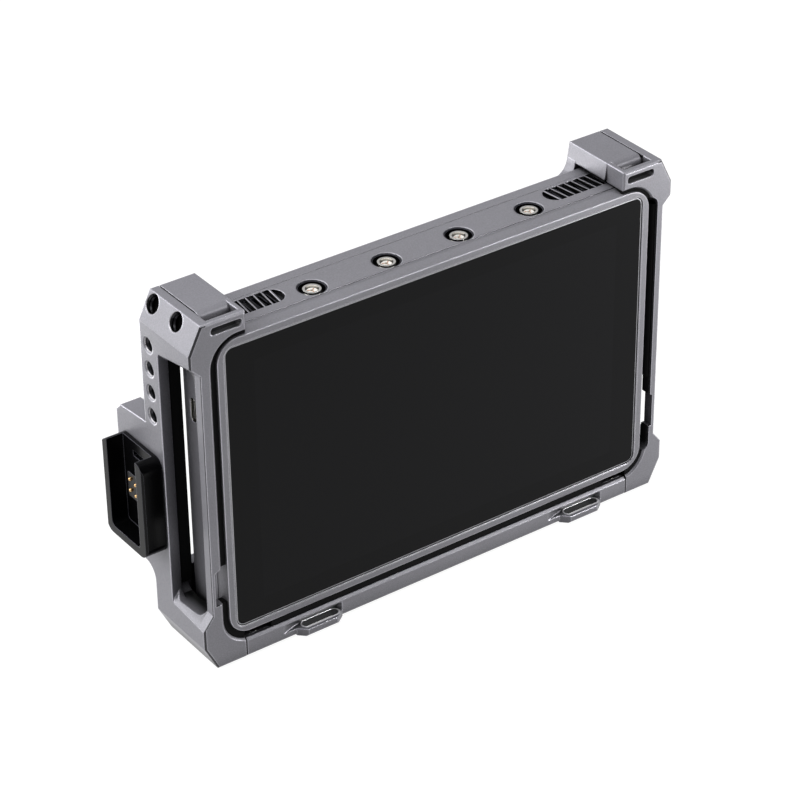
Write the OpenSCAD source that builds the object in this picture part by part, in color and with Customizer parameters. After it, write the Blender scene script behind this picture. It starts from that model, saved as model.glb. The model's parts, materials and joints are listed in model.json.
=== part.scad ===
// Wireless field monitor in an aluminium cage, with an accessory dock on its left side.
// Millimetres. X runs to the right, Y to the back and Z up. The origin is the mouth of the
// tripod thread in the middle of the underside.

/* [Monitor] */
// Width of the monitor housing
monitor_w = 180.4; // [170:0.1:210]
// Height of the monitor housing
monitor_h = 117; // [112:0.1:130]
// Depth of the monitor housing
monitor_d = 24.4; // [23.4:0.1:30]
// Corner radius of the housing, seen from the front
monitor_corner_r = 9; // [7.5:0.1:11]
// Depth of the front bezel
bezel_d = 5.4; // [5:0.1:6]
// Depth of the rear cover
cover_d = 4.4; // [4:0.1:5]
// Wall thickness of the housing
shell_wall = 2.2; // [1.8:0.1:2.6]
// Amount by which the bezel narrows towards its front face
bezel_narrow_w = 0.8; // [0.3:0.1:1.2]
// Width of the bezel between its outline and the glass seat
rim_w = 3.4; // [2.8:0.1:4.5]
// Chamfer of the rear cover's left and right edges
cover_chamfer = 2.8; // [0.5:0.1:4]

/* [Screen] */
// Distance of the picture area from the housing's left and right sides
screen_side_in = 14.8; // [13:0.1:20]
// Distance of the picture area from the housing's top and bottom
screen_top_in = 11.4; // [10.4:0.1:15]
// Border of the panel around its picture area
panel_border = 2.5; // [1:0.1:3]
// Thickness of the cover glass
glass_t = 1.2; // [0.8:0.1:1.4]
// Depth of the glass below the bezel's front face
glass_inset = 0.4; // [0.2:0.1:0.6]
// Thickness of the panel behind the glass
panel_t = 2.3; // [1.8:0.1:2.6]
// Thickness of the backlight unit
backlight_t = 3; // [2:0.1:3.4]

/* [Cage] */
// Gap between the monitor's sides and the front flanges
side_gap = 1.5; // [1.2:0.1:3]
// Width of the front flanges beside the screen
flange_w = 4.1; // [3:0.1:7]
// Depth of the front flanges beside the screen
flange_d = 4; // [3:0.1:5]
// How far the side recess sinks below the corners
recess_depth = 4; // [2.5:0.1:5]
// Length of the side recess, from the front face backwards
recess_d = 20; // [18:0.1:21]
// Height of the bottom bar
bar_h = 7.4; // [7:0.1:9]
// Gap between the bottom bar and the monitor
bottom_gap = 2.6; // [2.2:0.1:4]
// Gap between the monitor's top and the corner hooks
hook_gap = 0.7; // [0.5:0.1:1.5]
// Thickness of the corner hooks
hook_t = 7.2; // [7:0.1:9]
// Gap between the monitor's back and the rear wall
rear_gap = 1.3; // [0.8:0.1:2]
// Thickness of the rear wall
rear_wall_t = 4.6; // [4.4:0.1:7]
// Radius of the inner corners of the cage
cavity_r = 11; // [10:0.1:12]
// Width of the slanted outer corners
corner_cut_w = 4.9; // [3.5:0.1:6]
// Height of the slanted outer corners
corner_cut_h = 9.8; // [8.5:0.1:11]
// Length of the corner hooks along the top
hook_w = 13.4; // [12:0.1:16]
// Height of the rear wall on the bottom bar
rear_wall_h = 26.5; // [22:0.1:30]
// Height of the rear rail of the top bridge
rail_h = 11; // [10.4:0.1:11.6]
// Distance of the rear rail's top below the top of the cage
rail_drop = 12.6; // [12.2:0.1:15]

/* [Side openings] */
// Height of the side slots' lower ends above the underside
slot_foot = 20; // [19.6:0.1:24]
// Distance of the side slots' upper ends below the top
slot_head = 19.5; // [18:0.1:24]
// Corner radius of the side slots
slot_r = 3.4; // [2:0.1:3.4]
// Height of the finger notches' lower ends above the underside
notch_foot = 25.7; // [22:0.1:30]
// Height of the finger notches in the front flanges
notch_h = 14.8; // [8:0.1:20]
// Depth of the finger notches
notch_w = 2.9; // [1.5:0.1:2.9]

/* [Strap loops] */
// Distance of the left strap loop's middle from the left end of the bar
left_loop_in = 30.2; // [22:0.1:38]
// Distance of the right strap loop's middle from the right end of the bar
right_loop_in = 21.5; // [21.5:0.1:40]
// Length of a strap loop along the bar
loop_l = 19; // [17:0.1:20]
// How far a strap loop stands out from the bar
loop_out = 3; // [2.4:0.1:4]
// Thickness of a strap loop
loop_t = 2.9; // [2.4:0.1:3.2]
// Length of the slot in a strap loop
loop_slot_l = 15; // [13:0.1:15.6]
// Width of the slot in a strap loop
loop_slot_w = 3.8; // [3.6:0.1:4.2]

/* [Threads] */
// Core radius of the quarter inch threads
thread_r = 2.6; // [2.5:0.05:2.8]
// Mouth radius of the quarter inch threads
thread_mouth_r = 3.1; // [2.9:0.05:3.3]
// Distance between the side threads
thread_pitch = 9.03; // [8:0.01:9.5]
// Distance of the outer underside threads from the tripod thread
base_thread_x = 20; // [12:0.1:30]
// Radius of the sockets in the slanted corners
socket_r = 3.5; // [3.2:0.05:3.55]
// Depth of the sockets in the slanted corners
socket_l = 3.8; // [3:0.1:3.9]

/* [Top face] */
// Distance of the outer antenna jacks from the housing's left and right sides
jack_side_in = 45.2; // [44:0.1:50]
// Radius of the wells around the antenna jacks
well_r = 5.2; // [4.8:0.1:5.2]
// Radius of an antenna jack's threaded barrel
jack_r = 3.175; // [3:0.005:3.2]
// Distance of the top vents from the housing's left and right sides
vent_side = 8.7; // [8.2:0.1:11]
// Length of the top vents
vent_l = 27; // [24:0.1:29]
// Distance between the ribs of the vents
rib_pitch = 3.07; // [2.6:0.01:4]
// Thickness of the ribs of the vents
rib_t = 0.7; // [0.6:0.05:1.2]

/* [Dock] */
// Width of the dock tray, front to back
dock_w = 26; // [24:0.1:28]
// Height of the dock tray
dock_h = 37.5; // [34:0.1:42]
// How far the dock tray stands out from the cage
dock_t = 8.1; // [7:0.1:9]
// Height of the dock tray's lower edge above the underside
dock_z = 38; // [37:0.1:42]
// How far the dock bracket reaches behind the cage
bracket_l = 19; // [18:0.1:22]
// Thickness of the dock bracket
bracket_t = 8; // [7:0.1:9]
// Travel of the sprung dock contacts
contact_travel = 0.7; // [0.3:0.05:0.8]

/* [Controls and battery plate] */
// Radius of the power button
button_r = 3.5; // [2.5:0.1:4]
// Travel of the power button
button_travel = 0.6; // [0.3:0.05:0.8]
// Width of the battery plate
plate_w = 40; // [38:0.1:44]
// Height of the battery plate
plate_h = 62; // [58:0.1:66]
// Travel of the battery latch
latch_travel = 1.8; // [1:0.1:2]

/* [Hidden] */

// Round edges are drawn with this many sides
$fn = 48;

// Overrun of cuts, and the clearances and small edges that the pieces share
over = 0.5;
seam_gap = 0.4;
fit_gap = 0.05;
free_gap = 0.3;
groove = 0.4;
bevel = 0.7;

// The cage closes round the monitor
cavity_x = monitor_w / 2 + side_gap;
recess_x = cavity_x + flange_w;
cage_w = 2 * (recess_x + recess_depth);
monitor_z = bar_h + bottom_gap + monitor_h / 2;
roof_z = bar_h + bottom_gap + monitor_h + hook_gap;
cage_h = roof_z + hook_t;
rear_wall_y = monitor_d + rear_gap;
cage_d = rear_wall_y + rear_wall_t;
rail_top = cage_h - rail_drop;
rail_foot = rail_top - rail_h;

// Seams between the side frames, the bottom bar and the bridge
bar_seam_in = 8.2;
bar_seam_x = cavity_x - bar_seam_in;
left_loop_x = bar_seam_x - left_loop_in;
right_loop_x = bar_seam_x - right_loop_in;
bridge_seam_x = cavity_x - fit_gap;
bridge_x = bridge_seam_x - seam_gap;

// Tongues of the side frames that lie in the ends of the bottom bar
tongue_l = 10;
tongue_t = 3.5;
tongue_front = 2;
tongue_d = 21;
tongue_screw_in = 2.6;

// Corner blocks of the side frames, and the hooks of the bridge between them
hook_x = bridge_x - hook_w;
hook_set = 1;
hook_rise = 1;
block_d = 9.5;
strap_bar_d = 2.3;
strap_slot_h = 2.8;
strap_slot_up = 2.4;
strap_slot_r = 1.2;
shelf_t = 1.4;
end_wall_t = 1.6;
nose_r = 3;
leg_fillet = 7;
lap_w = 5.6;
lap_t = 1.8;

// Side recess with its end ramps, and the lip behind the slot
recess_foot = 16.9;
recess_head = 14.2;
ramp_foot = 5;
ramp_head = 3.9;
foot_tilt = 5;
head_tilt = 10;
recess_r = 3;
thin_wall = 0.5;
lip_t = 7.6;
lip_y = cage_d - lip_t;
lip_x = monitor_w / 2 + fit_gap * 4;
pad_t = 1;
right_flange_share = 0.54;
right_pad_x = recess_x - flange_w * right_flange_share;
liner_t = 0.5;
notch_ramp = 1.5;

// Bevels along the bottom bar, its strap loops and the pockets above them
bar_bevel = 0.8;
loop_flat_l = 12;
loop_shift = 0.5;
loop_rear = 2.5;
pocket_flare = 8;
pocket_rise = 3.4;
pocket_end = 1.5;

// Rows of threads, and the sockets in the slanted corners
thread_drop = 17.3;
thread_y = rear_wall_y;
side_threads = 4;
mouth_l = 0.5;
thread_top_z = cage_h - thread_drop;
socket_front_y = 12.3;
socket_up = 1.8;
socket_rear_gap = 0.3;
socket_ys = [socket_front_y, cage_d - socket_r - socket_rear_gap];
corner_tilt = atan2(corner_cut_w, corner_cut_h);

// Cage screws and board screws
screw_r = 1.25;
screw_head_r = 2.2;
screw_head_t = 1.5;
screw_l = 6;
pin_r = 0.9;
pin_head_r = 1.6;
pin_head_t = 1;
pin_l = 3.4;
board_screw_l = 5;
cover_screw_grip = 2.4;
cover_screw_l = cover_d + cover_screw_grip;
lap_zs = [thread_top_z - thread_pitch / 2, thread_top_z + thread_r + screw_r + thin_wall];

// Glass, gasket and panel, front to back
pocket_w = monitor_w - 2 * rim_w;
pocket_h = monitor_h - 2 * rim_w;
pocket_r = 3.4;
gasket_w = 0.35;
gasket_t = 0.4;
ledge_y = glass_inset + glass_t + gasket_t;
ledge_t = 1.3;
panel_y = glass_inset + glass_t;
screen_w = monitor_w - 2 * screen_side_in;
screen_h = monitor_h - 2 * screen_top_in;
panel_w = screen_w + 2 * panel_border;
panel_h = screen_h + 2 * panel_border;
backlight_y = panel_y + panel_t;
backlight_edge = 2;
web_y = backlight_y + backlight_t;
web_t = 1.5;
inside_y = web_y + web_t;
cover_y = monitor_d - cover_d;
cover_t = 1.8;

// Top face: jacks, wells and vents
vent_out_x = monitor_w / 2 - vent_side;
vent_in_x = vent_out_x - vent_l;
jack_y = 11.2;
jacks = 4;
jack_pitch = 2 * (monitor_w / 2 - jack_side_in) / (jacks - 1);
well_wall = 0.5;
well_d = 6;
well_floor = 1;
well_inset = 0.3;
jack_inset = 0.4;
jack_l = 14.5;
jack_base_r = 3.9;
jack_bore_r = 2.3;
insulator_drop = 1.2;
centre_pin_r = 0.65;
centre_bore_r = 0.4;
jack_base_t = 3;
jack_foot_l = 4;
jack_foot_t = 1.2;
nut_r = 4.6;
nut_t = 2;
vent_y0 = 9.8;
vent_d = 9;
vent_r = 4.4;
rib_h = 0.9;
screen_t = 1.2;
screen_slot_w = 1.2;
rib_slant = 7;

// Boards, heat sink and fans inside
board_t = 1.6;
boss_r = 3;
receiver_end = 4;
receiver_w = (jacks - 1) * jack_pitch + 2 * receiver_end;
receiver_h = 22;
receiver_y = jack_y + centre_pin_r;
receiver_top = monitor_h / 2 - jack_inset - jack_l;
board_gap = 2;
main_y = inside_y + board_gap;
main_drop = 8;
main_rise = 16.1;
board_r = 1.5;
can_x = jack_pitch;
can_w = 16;
can_h = 12;
can_t = 2;
chip_w = 16;
chip_t = 1.2;
sink_w = 60;
sink_end = 10;
sink_t = 6;
sink_base_t = 2;
sink_fins = 11;
fin_t = 1.2;
fan_size = 33.4;
fan_t = 10;
fan_wall = 1.6;
fan_side_in = 22.9;
fan_x = monitor_w / 2 - fan_side_in;
fan_z = monitor_h / 2 - shell_wall - screen_t - free_gap - fan_size / 2;
fan_y = inside_y + board_gap;
fan_side_gap = 2.6;
post_drop = 7.4;
post_z = fan_z - fan_size / 2 - post_drop;
main_w = 2 * (fan_x - fan_size / 2 - fan_side_gap);
fan_hub_r = 6.5;
fan_room_r = 14;
fan_corner_r = 3;
fan_blades = 11;
blade_t = 0.8;
blade_span = 6.6;
blade_tilt = 20;
rotor_y = 2.4;
rotor_l = 5.2;
shaft_r = 1;
bearing_r = 2.2;
bearing_l = 3;
bearing_gap = 0.03;

// Power button and its switch
button_y = 12.5;
button_z = notch_foot + notch_h / 2 - monitor_z;
button_out = 0.8;
button_edge = 0.25;
button_flange_r = 3.8;
button_flange_t = 1;
button_stem_r = 1.5;
button_stem_l = 2.4;
switch_size = 6;
switch_l = 4;
switch_gap = button_travel + free_gap;

// Data port in the left side
port_z = 26;
port_y = 15.2;
port_l = 9;
port_t = 3.3;
port_wall = 0.3;
port_d = 5.4;
port_tongue_t = 0.7;

// Dock tray, its bracket and its contacts
dock_y = 21;
dock_wall = 3.6;
dock_floor = 1.6;
dock_r = 4;
dock_front_wall = 4.2;
dock_foot_wall = 3;
dock_slot_l = 6.2;
dock_slot_h = 2.2;
dock_slot_drop = 3.6;
bracket_top = 85.8;
bracket_fall = 2.6;
bracket_rear_top = 81.8;
bracket_foot = 27.5;
bracket_toe = 30.5;
bracket_rear_foot = 38;
bracket_fillet = 6;
block_w = 7.4;
block_h = 9.8;
block_l = 2.8;
block_up = 60;
contact_r = 0.7;
contact_out = 0.9;
contact_l = 2.6;
contact_step_y = 1.8;
contact_step_z = 2.2;
contact_offset = 0.3;
contact_shift = 1;
dock_screw_zs = [bracket_rear_foot + pin_head_r * 2, bracket_rear_foot + dock_h / 2 + pin_head_r * 2];

// Battery plate on the rear cover
plate_t = 2.2;
plate_r = 3;
claw_w = 3;
claw_lip = 1.4;
claw_l = 10;
claw_rise = 3.2;
claw_lip_t = 1.2;
latch_w = 12;
latch_h = 7;
latch_out = latch_travel;
latch_drop = 22;
latch_flange = 1;
latch_flange_t = 0.8;
latch_z = -latch_drop;
carrier_w = 16;
carrier_h = 5;
carrier_t = 2.6;
carrier_z = plate_h / 2 - carrier_h;
blade_pitch = 4.5;

// Solid that a flat outline in X and Z makes between two depths from the front
module slab(y0, y1) {
    translate([0, y1, 0]) rotate([90, 0, 0]) linear_extrude(y1 - y0) children();
}

// Solid that a flat outline in Y and Z makes between two places along X
module run_x(x0, x1) {
    translate([x0, 0, 0]) rotate([90, 0, 90]) linear_extrude(x1 - x0) children();
}

// Solid that a flat outline in X and Y makes between two heights
module run_z(z0, z1) {
    translate([0, 0, z0]) linear_extrude(z1 - z0) children();
}

module in_cage() {
    translate([0, -cage_d / 2, 0]) children();
}

// Inside the monitor, X and Z are measured from the middle of the screen
module in_monitor() {
    translate([0, -cage_d / 2, monitor_z]) children();
}

module rounded_rect(w, h, r) {
    square([w - 2 * r, h], center = true);
    square([w, h - 2 * r], center = true);
    for (x = [-1, 1], z = [-1, 1]) {
        translate([x * (w / 2 - r), z * (h / 2 - r)]) circle(r);
    }
}

module rect(x0, x1, z0, z1) {
    translate([x0, z0]) square([x1 - x0, z1 - z0]);
}

// Rounded block whose outline grows by a taper from the front to the back
module tapered_block(w, h, r, d, taper) {
    run_x(r - w / 2, w / 2 - r) polygon([
        [0, taper - h / 2], [0, h / 2 - taper], [d, h / 2], [d, -h / 2]
    ]);
    run_z(r - h / 2, h / 2 - r) polygon([
        [taper - w / 2, 0], [w / 2 - taper, 0], [w / 2, d], [-w / 2, d]
    ]);
    for (x = [-1, 1], z = [-1, 1]) {
        translate([x * (w / 2 - r), 0, z * (h / 2 - r)]) rotate([-90, 0, 0])
            cylinder(r1 = r - taper, r2 = r, h = d);
    }
}

// Screw whose head lies under the origin, with its shank along -Z
module screw(shank_r, head_r, head_t, length) {
    difference() {
        union() {
            translate([0, 0, -head_t]) cylinder(r = head_r, h = head_t);
            translate([0, 0, -length]) cylinder(r = shank_r, h = length - head_t + fit_gap);
        }
        translate([0, 0, -head_t / 2]) cylinder(r = shank_r * 0.8, h = head_t, $fn = 6);
    }
}

module screw_hole(shank_r, head_r, head_t, length) {
    translate([0, 0, -head_t]) cylinder(r = head_r + fit_gap, h = head_t + over);
    translate([0, 0, -length]) cylinder(r = shank_r + fit_gap, h = length);
}

// Cage

module cavity(half_w, r, y0, y1) {
    translate([0, 0, (bar_h + roof_z) / 2])
        slab(y0, y1) rounded_rect(2 * half_w, roof_z - bar_h, r);
}

// Bevel of the cavity's front edge
module cavity_bevel() {
    edge = bevel + over;
    translate([0, bevel, (bar_h + roof_z) / 2]) mirror([0, 1, 0])
        tapered_block(2 * (cavity_x + edge), roof_z - bar_h + 2 * edge, cavity_r + edge, edge, edge);
}

// Cut along the front edge between two points of an outline
module edge_bevel(a, b) {
    span = norm(b - a);
    translate([a[0], 0, a[1]]) rotate([0, -atan2(b[1] - a[1], b[0] - a[0]), 0])
        run_x(-over, span + over) polygon([
            [-over, bevel + over],
            [bevel + over, -over],
            [-over, -over]
        ]);
}

// Corners of the right frame's outline, from the bar's seam round to the hook's end
side_points = [
    [bar_seam_x, 0],
    [cage_w / 2 - corner_cut_w, 0],
    [cage_w / 2, corner_cut_h],
    [cage_w / 2, cage_h - corner_cut_h],
    [cage_w / 2 - corner_cut_w, cage_h],
    [hook_x, cage_h],
    [hook_x, roof_z]
];

// Space below a ramp that leaves the outer face at a height and tilts down towards the back
module under_ramp(z, ramp, tilt) {
    translate([0, 0, z]) rotate([-tilt, 0, 0]) slab(-cage_h, cage_h) polygon([
        [cage_w / 2 + recess_depth, ramp],
        [recess_x, -ramp],
        [recess_x, -cage_h],
        [cage_w / 2 + recess_depth, -cage_h]
    ]);
}

module side_recess() {
    y1 = recess_d - recess_r;
    z0 = recess_foot + y1 * tan(foot_tilt) + recess_r - bevel;
    z1 = cage_h - recess_head - y1 * tan(head_tilt) - recess_r + bevel;
    intersection() {
        under_ramp(cage_h - recess_head, ramp_head, head_tilt);
        mirror([0, 0, 1]) under_ramp(-recess_foot, ramp_foot, foot_tilt);
        run_x(recess_x - over, cage_w / 2 + over) {
            rect(-2 * recess_r, y1, 0, cage_h);
            rect(-2 * recess_r, recess_d, z0, z1);
            for (z = [z0, z1]) {
                translate([y1, z]) circle(recess_r);
            }
        }
    }
}

// Long slot through the side wall, with round corners
module side_slot() {
    z0 = slot_foot;
    z1 = cage_h - slot_head;
    run_x(cavity_x - 2 * over, cage_w / 2 + over)
        translate([(flange_d + recess_d) / 2, (z0 + z1) / 2])
            rounded_rect(recess_d - flange_d, z1 - z0, slot_r);
    run_x(cavity_x - 2 * over, recess_x + fit_gap)
        translate([(flange_d + lip_y) / 2, (z0 + z1) / 2])
            rounded_rect(lip_y - flange_d, z1 - z0, slot_r);
}

module finger_notch() {
    z0 = notch_foot;
    z1 = z0 + notch_h;
    slab(-over, flange_d + over) polygon([
        [cavity_x - side_gap, z0],
        [cavity_x + notch_w, z0],
        [cavity_x + notch_w, z1 - notch_ramp],
        [cavity_x, z1],
        [cavity_x - side_gap, z1]
    ]);
}

module side_threads() {
    for (i = [0 : side_threads - 1]) {
        translate([lip_x - over, thread_y, thread_top_z - i * thread_pitch]) rotate([0, 90, 0]) {
            cylinder(r = thread_r, h = cage_w / 2 - lip_x + 2 * over);
            translate([0, 0, cage_w / 2 - lip_x + over - mouth_l])
                cylinder(r1 = thread_r, r2 = thread_mouth_r, h = mouth_l);
            translate([0, 0, cage_w / 2 - lip_x + over]) cylinder(r = thread_mouth_r, h = over);
        }
    }
}

// Blind sockets, square to the slanted corner
module corner_sockets() {
    for (y = socket_ys) {
        translate([cage_w / 2 - corner_cut_w / 2, y, cage_h - corner_cut_h / 2])
            rotate([0, 90 - corner_tilt, 0])
                translate([-socket_up, 0, -socket_l]) cylinder(r = socket_r, h = socket_l + corner_cut_w);
    }
}

module bar_screw_places() {
    for (y = [tongue_front + tongue_screw_in, tongue_front + tongue_d - tongue_screw_in]) {
        translate([bar_seam_x - tongue_l / 2, y, bar_h]) children();
    }
}

module bridge_screw_places() {
    for (z = lap_zs) {
        translate([bridge_seam_x + lap_w / 2, cage_d, z]) rotate([-90, 0, 0]) children();
    }
}

// Recess in the frame's back for the end of the bridge, and the end itself
module lap(gap) {
    slab(cage_d - lap_t - gap, cage_d + gap * 10)
        rect(bridge_x - gap, bridge_seam_x + lap_w + gap,
             lap_zs[0] - screw_head_r - thin_wall - gap, lap_zs[1] + screw_head_r + thin_wall + gap);
}

// Right side frame without its openings, and the left one before it is mirrored
module side_frame() {
    difference() {
        union() {
            slab(0, cage_d) polygon(concat(side_points, [[bar_seam_x, roof_z]]));
            translate([bar_seam_x - tongue_l, tongue_front, bar_h - tongue_t])
                cube([tongue_l + over, tongue_d, tongue_t]);
        }
        cavity(cavity_x, cavity_r, -over, lip_y);
        cavity(lip_x, cavity_r - cavity_x + lip_x, -over, rear_wall_y);
        cavity_bevel();
        // Rear window beside the bar's wall and below the bridge
        slab(rear_wall_y - over, cage_d + over) rect(0, lip_x, rear_wall_h, rail_foot + over);
        // Room for the bridge and its hook
        slab(lip_y - over, cage_d + over) rect(0, bridge_seam_x, rail_foot, cage_h + over);
        slab(block_d, cage_d + over) rect(0, bridge_seam_x, roof_z - cavity_r, cage_h + over);
        lap(fit_gap);
        // Strap pocket behind the front face, and the strap slot into it
        slab(strap_bar_d, block_d + over)
            rect(hook_x + end_wall_t, bridge_seam_x, roof_z + shelf_t, cage_h + over);
        strap_slot();
        side_recess();
        finger_notch();
        side_threads();
        corner_sockets();
        for (i = [0 : len(side_points) - 2]) {
            edge_bevel(side_points[i], side_points[i + 1]);
        }
        bar_screw_places() screw_hole(screw_r, screw_head_r, screw_head_t, screw_l);
        bridge_screw_places() screw_hole(screw_r, screw_head_r, screw_head_t, screw_l + over);
    }
}

// Slot with round corners through the front plate into the strap pocket
module strap_slot() {
    x0 = hook_x + end_wall_t;
    x1 = bridge_seam_x - seam_gap;
    translate([(x0 + x1) / 2, 0, roof_z + strap_slot_up + strap_slot_h / 2])
        slab(-over, strap_bar_d + over) rounded_rect(x1 - x0, strap_slot_h, strap_slot_r);
}

module right_frame() {
    color([0.52, 0.52, 0.55]) in_cage() difference() {
        side_frame();
        side_slot();
        // Deeper inner face for the rubber strip on this side
        translate([0, 0, monitor_z]) slab(-over, lip_y)
            rounded_rect(2 * right_pad_x, monitor_h - 2 * monitor_corner_r + 2 * slot_r, slot_r);
    }
}

// Side view of the bracket that carries the dock behind the left frame
module bracket_outline() {
    y1 = cage_d + bracket_l;
    difference() {
        polygon([
            [cage_d - over, bracket_foot - bracket_fillet],
            [cage_d - over, bracket_top],
            [cage_d + bracket_fall, bracket_top],
            [y1 - bracket_fall, bracket_rear_top + bracket_fall],
            [y1, bracket_rear_top],
            [y1, bracket_rear_foot],
            [y1 - bracket_fillet, bracket_toe],
            [cage_d + bracket_fillet, bracket_foot],
            [cage_d, bracket_foot - bracket_fillet]
        ]);
        translate([cage_d + bracket_fillet, bracket_foot - bracket_fillet]) circle(bracket_fillet);
    }
}

module left_frame() {
    color([0.55, 0.55, 0.58]) in_cage() mirror([1, 0, 0]) difference() {
        union() {
            side_frame();
            run_x(cage_w / 2 - bracket_t, cage_w / 2) bracket_outline();
        }
        side_slot();
        dock_screw_places() screw_hole(pin_r, pin_head_r, pin_head_t, bracket_t + over);
    }
}

// One corner hook of the bridge, with its rounded nose and its leg down the back
module bridge_hook() {
    // Hook over the monitor's corner
    slab(block_d + fit_gap, cage_d) polygon([
        [bridge_x, rail_top],
        [bridge_x, cage_h],
        [hook_x, cage_h],
        [hook_x - hook_set, roof_z + hook_rise],
        [hook_x - hook_set, rail_top]
    ]);
    // Nose in the strap pocket
    run_x(hook_x + end_wall_t + fit_gap, bridge_x) intersection() {
        translate([block_d + fit_gap, cage_h - nose_r]) circle(nose_r);
        rect(block_d - nose_r, block_d + fit_gap, cage_h - nose_r, cage_h);
    }
    run_x(hook_x + end_wall_t + fit_gap, bridge_x)
        rect(block_d - nose_r + fit_gap, block_d + 2 * fit_gap, roof_z + shelf_t, cage_h - nose_r + fit_gap);
    // Fillet between the leg and the rail
    slab(rear_wall_y, cage_d) difference() {
        rect(hook_x - hook_set - leg_fillet, hook_x, rail_top - over, rail_top + leg_fillet);
        translate([hook_x - hook_set - leg_fillet, rail_top + leg_fillet]) circle(leg_fillet);
    }
    lap(0);
}

module rear_bridge() {
    color([0.54, 0.54, 0.57]) in_cage() difference() {
        union() {
            slab(rear_wall_y, cage_d) rect(-bridge_x, bridge_x, rail_foot, rail_top);
            bridge_hook();
            mirror([1, 0, 0]) bridge_hook();
        }
        cavity(cavity_x + over, cavity_r + over, -over, rear_wall_y);
        for (side = [0, 1]) {
            mirror([side, 0, 0]) {
                slab(-over, rear_wall_y) rect(0, bridge_x - end_wall_t, roof_z - over, roof_z + hook_rise);
                bridge_screw_places() screw_hole(screw_r, screw_head_r, screw_head_t, screw_l);
            }
        }
    }
}

module bar_profile() {
    polygon([
        [0, bar_bevel],
        [bar_bevel, 0],
        [cage_d - bar_bevel, 0],
        [cage_d, bar_bevel],
        [cage_d, rear_wall_h - bar_bevel],
        [cage_d - bar_bevel, rear_wall_h],
        [rear_wall_y, rear_wall_h],
        [rear_wall_y, bar_h],
        [bar_bevel, bar_h],
        [0, bar_h - bar_bevel]
    ]);
}

// Lug of a strap loop, seen from below
module loop_lug(x) {
    run_z(0, loop_t) polygon([
        [x - loop_l / 2, 0],
        [x - loop_flat_l / 2 - loop_shift, -loop_out],
        [x + loop_flat_l / 2 - loop_shift, -loop_out],
        [x + loop_l / 2, 0],
        [x + loop_l / 2, loop_rear],
        [x - loop_l / 2, loop_rear]
    ]);
}

// Slot for the strap, and the sloping pocket that leads to it
module loop_cuts(x) {
    x0 = x + loop_shift - loop_slot_l / 2;
    x1 = x + loop_shift + loop_slot_l / 2;
    r = loop_slot_w / 2;
    run_z(-over, loop_t + over) {
        rect(x0 + r, x1 - r, loop_rear - loop_slot_w, loop_rear);
        for (c = [x0 + r, x1 - r]) {
            translate([c, loop_rear - r]) circle(r);
        }
    }
    intersection() {
        run_x(x0 - 2 * pocket_flare, x1 + pocket_flare) polygon([
            [-loop_out - over, loop_t],
            [loop_rear, loop_t],
            [0, loop_t + pocket_rise],
            [-loop_out - over, loop_t + pocket_rise]
        ]);
        run_z(loop_t - fit_gap, bar_h) polygon([
            [x0 - pocket_flare, 0],
            [x0, loop_rear],
            [x1, loop_rear],
            [x1 + pocket_end, 0],
            [x1 + pocket_end, -loop_out - over],
            [x0 - pocket_flare, -loop_out - over]
        ]);
    }
}

module bottom_bar() {
    bar_x = bar_seam_x - seam_gap;
    color([0.5, 0.5, 0.53]) in_cage() difference() {
        union() {
            run_x(-bar_x, bar_x) bar_profile();
            loop_lug(-left_loop_x);
            loop_lug(right_loop_x);
        }
        loop_cuts(-left_loop_x);
        loop_cuts(right_loop_x);
        // Bevel under the loops
        for (x = [-left_loop_x, right_loop_x]) {
            translate([x, -loop_out, 0]) rotate([45, 0, 0])
                cube([loop_l, bevel * sqrt(2), bevel * sqrt(2)], center = true);
        }
        for (side = [0, 1]) {
            mirror([side, 0, 0]) {
                translate([bar_seam_x - tongue_l - fit_gap, tongue_front - fit_gap, bar_h - tongue_t])
                    cube([tongue_l + over, tongue_d + 2 * fit_gap, tongue_t + over]);
                bar_screw_places() screw_hole(screw_r, screw_head_r, screw_head_t, screw_l);
            }
        }
        for (x = [-base_thread_x, 0, base_thread_x]) {
            translate([x, cage_d / 2, -over]) cylinder(r = thread_r, h = bar_h + 2 * over);
        }
    }
}

module bar_screws() {
    color([0.75, 0.75, 0.77]) in_cage() for (side = [0, 1]) {
        mirror([side, 0, 0]) {
            bar_screw_places() screw(screw_r, screw_head_r, screw_head_t, screw_l);
        }
    }
}

module bridge_screws() {
    color([0.2, 0.2, 0.2]) in_cage() for (side = [0, 1]) {
        mirror([side, 0, 0]) {
            bridge_screw_places() screw(screw_r, screw_head_r, screw_head_t, screw_l);
        }
    }
}

// Rubber between the corner hooks and the monitor
module hook_pads() {
    color([0.06, 0.06, 0.07]) in_cage() for (side = [0, 1]) {
        mirror([side, 0, 0]) intersection() {
            difference() {
                union() {
                    cavity(cavity_x, cavity_r, block_d + pad_t, lip_y - pad_t);
                    slab(block_d + pad_t, lip_y - pad_t)
                        rect(0, bridge_x - end_wall_t, roof_z - over, roof_z + hook_rise);
                }
                translate([0, 0, monitor_z])
                    slab(0, cage_d) rounded_rect(monitor_w, monitor_h, monitor_corner_r);
            }
            slab(0, cage_d)
                rect(hook_x, monitor_w / 2 - shell_wall, monitor_z + monitor_h / 2 - cavity_r, cage_h);
        }
    }
}

module bottom_pad() {
    pad_x = bar_seam_x - tongue_l - pad_t;
    color([0.06, 0.06, 0.07]) in_cage() run_x(-pad_x, pad_x)
        rect(pad_t, cover_y, bar_h, bar_h + bottom_gap);
}

// Rubber strips between the monitor's back and the rear walls
module rear_pads() {
    color([0.06, 0.06, 0.07]) in_cage() slab(monitor_d, rear_wall_y) {
        rect(-monitor_w / 3, monitor_w / 3, monitor_z - monitor_h / 2 + shell_wall, rear_wall_h - pad_t);
        rect(-monitor_w / 3, monitor_w / 3, rail_foot + pad_t, rail_top - pad_t);
    }
}

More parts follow.
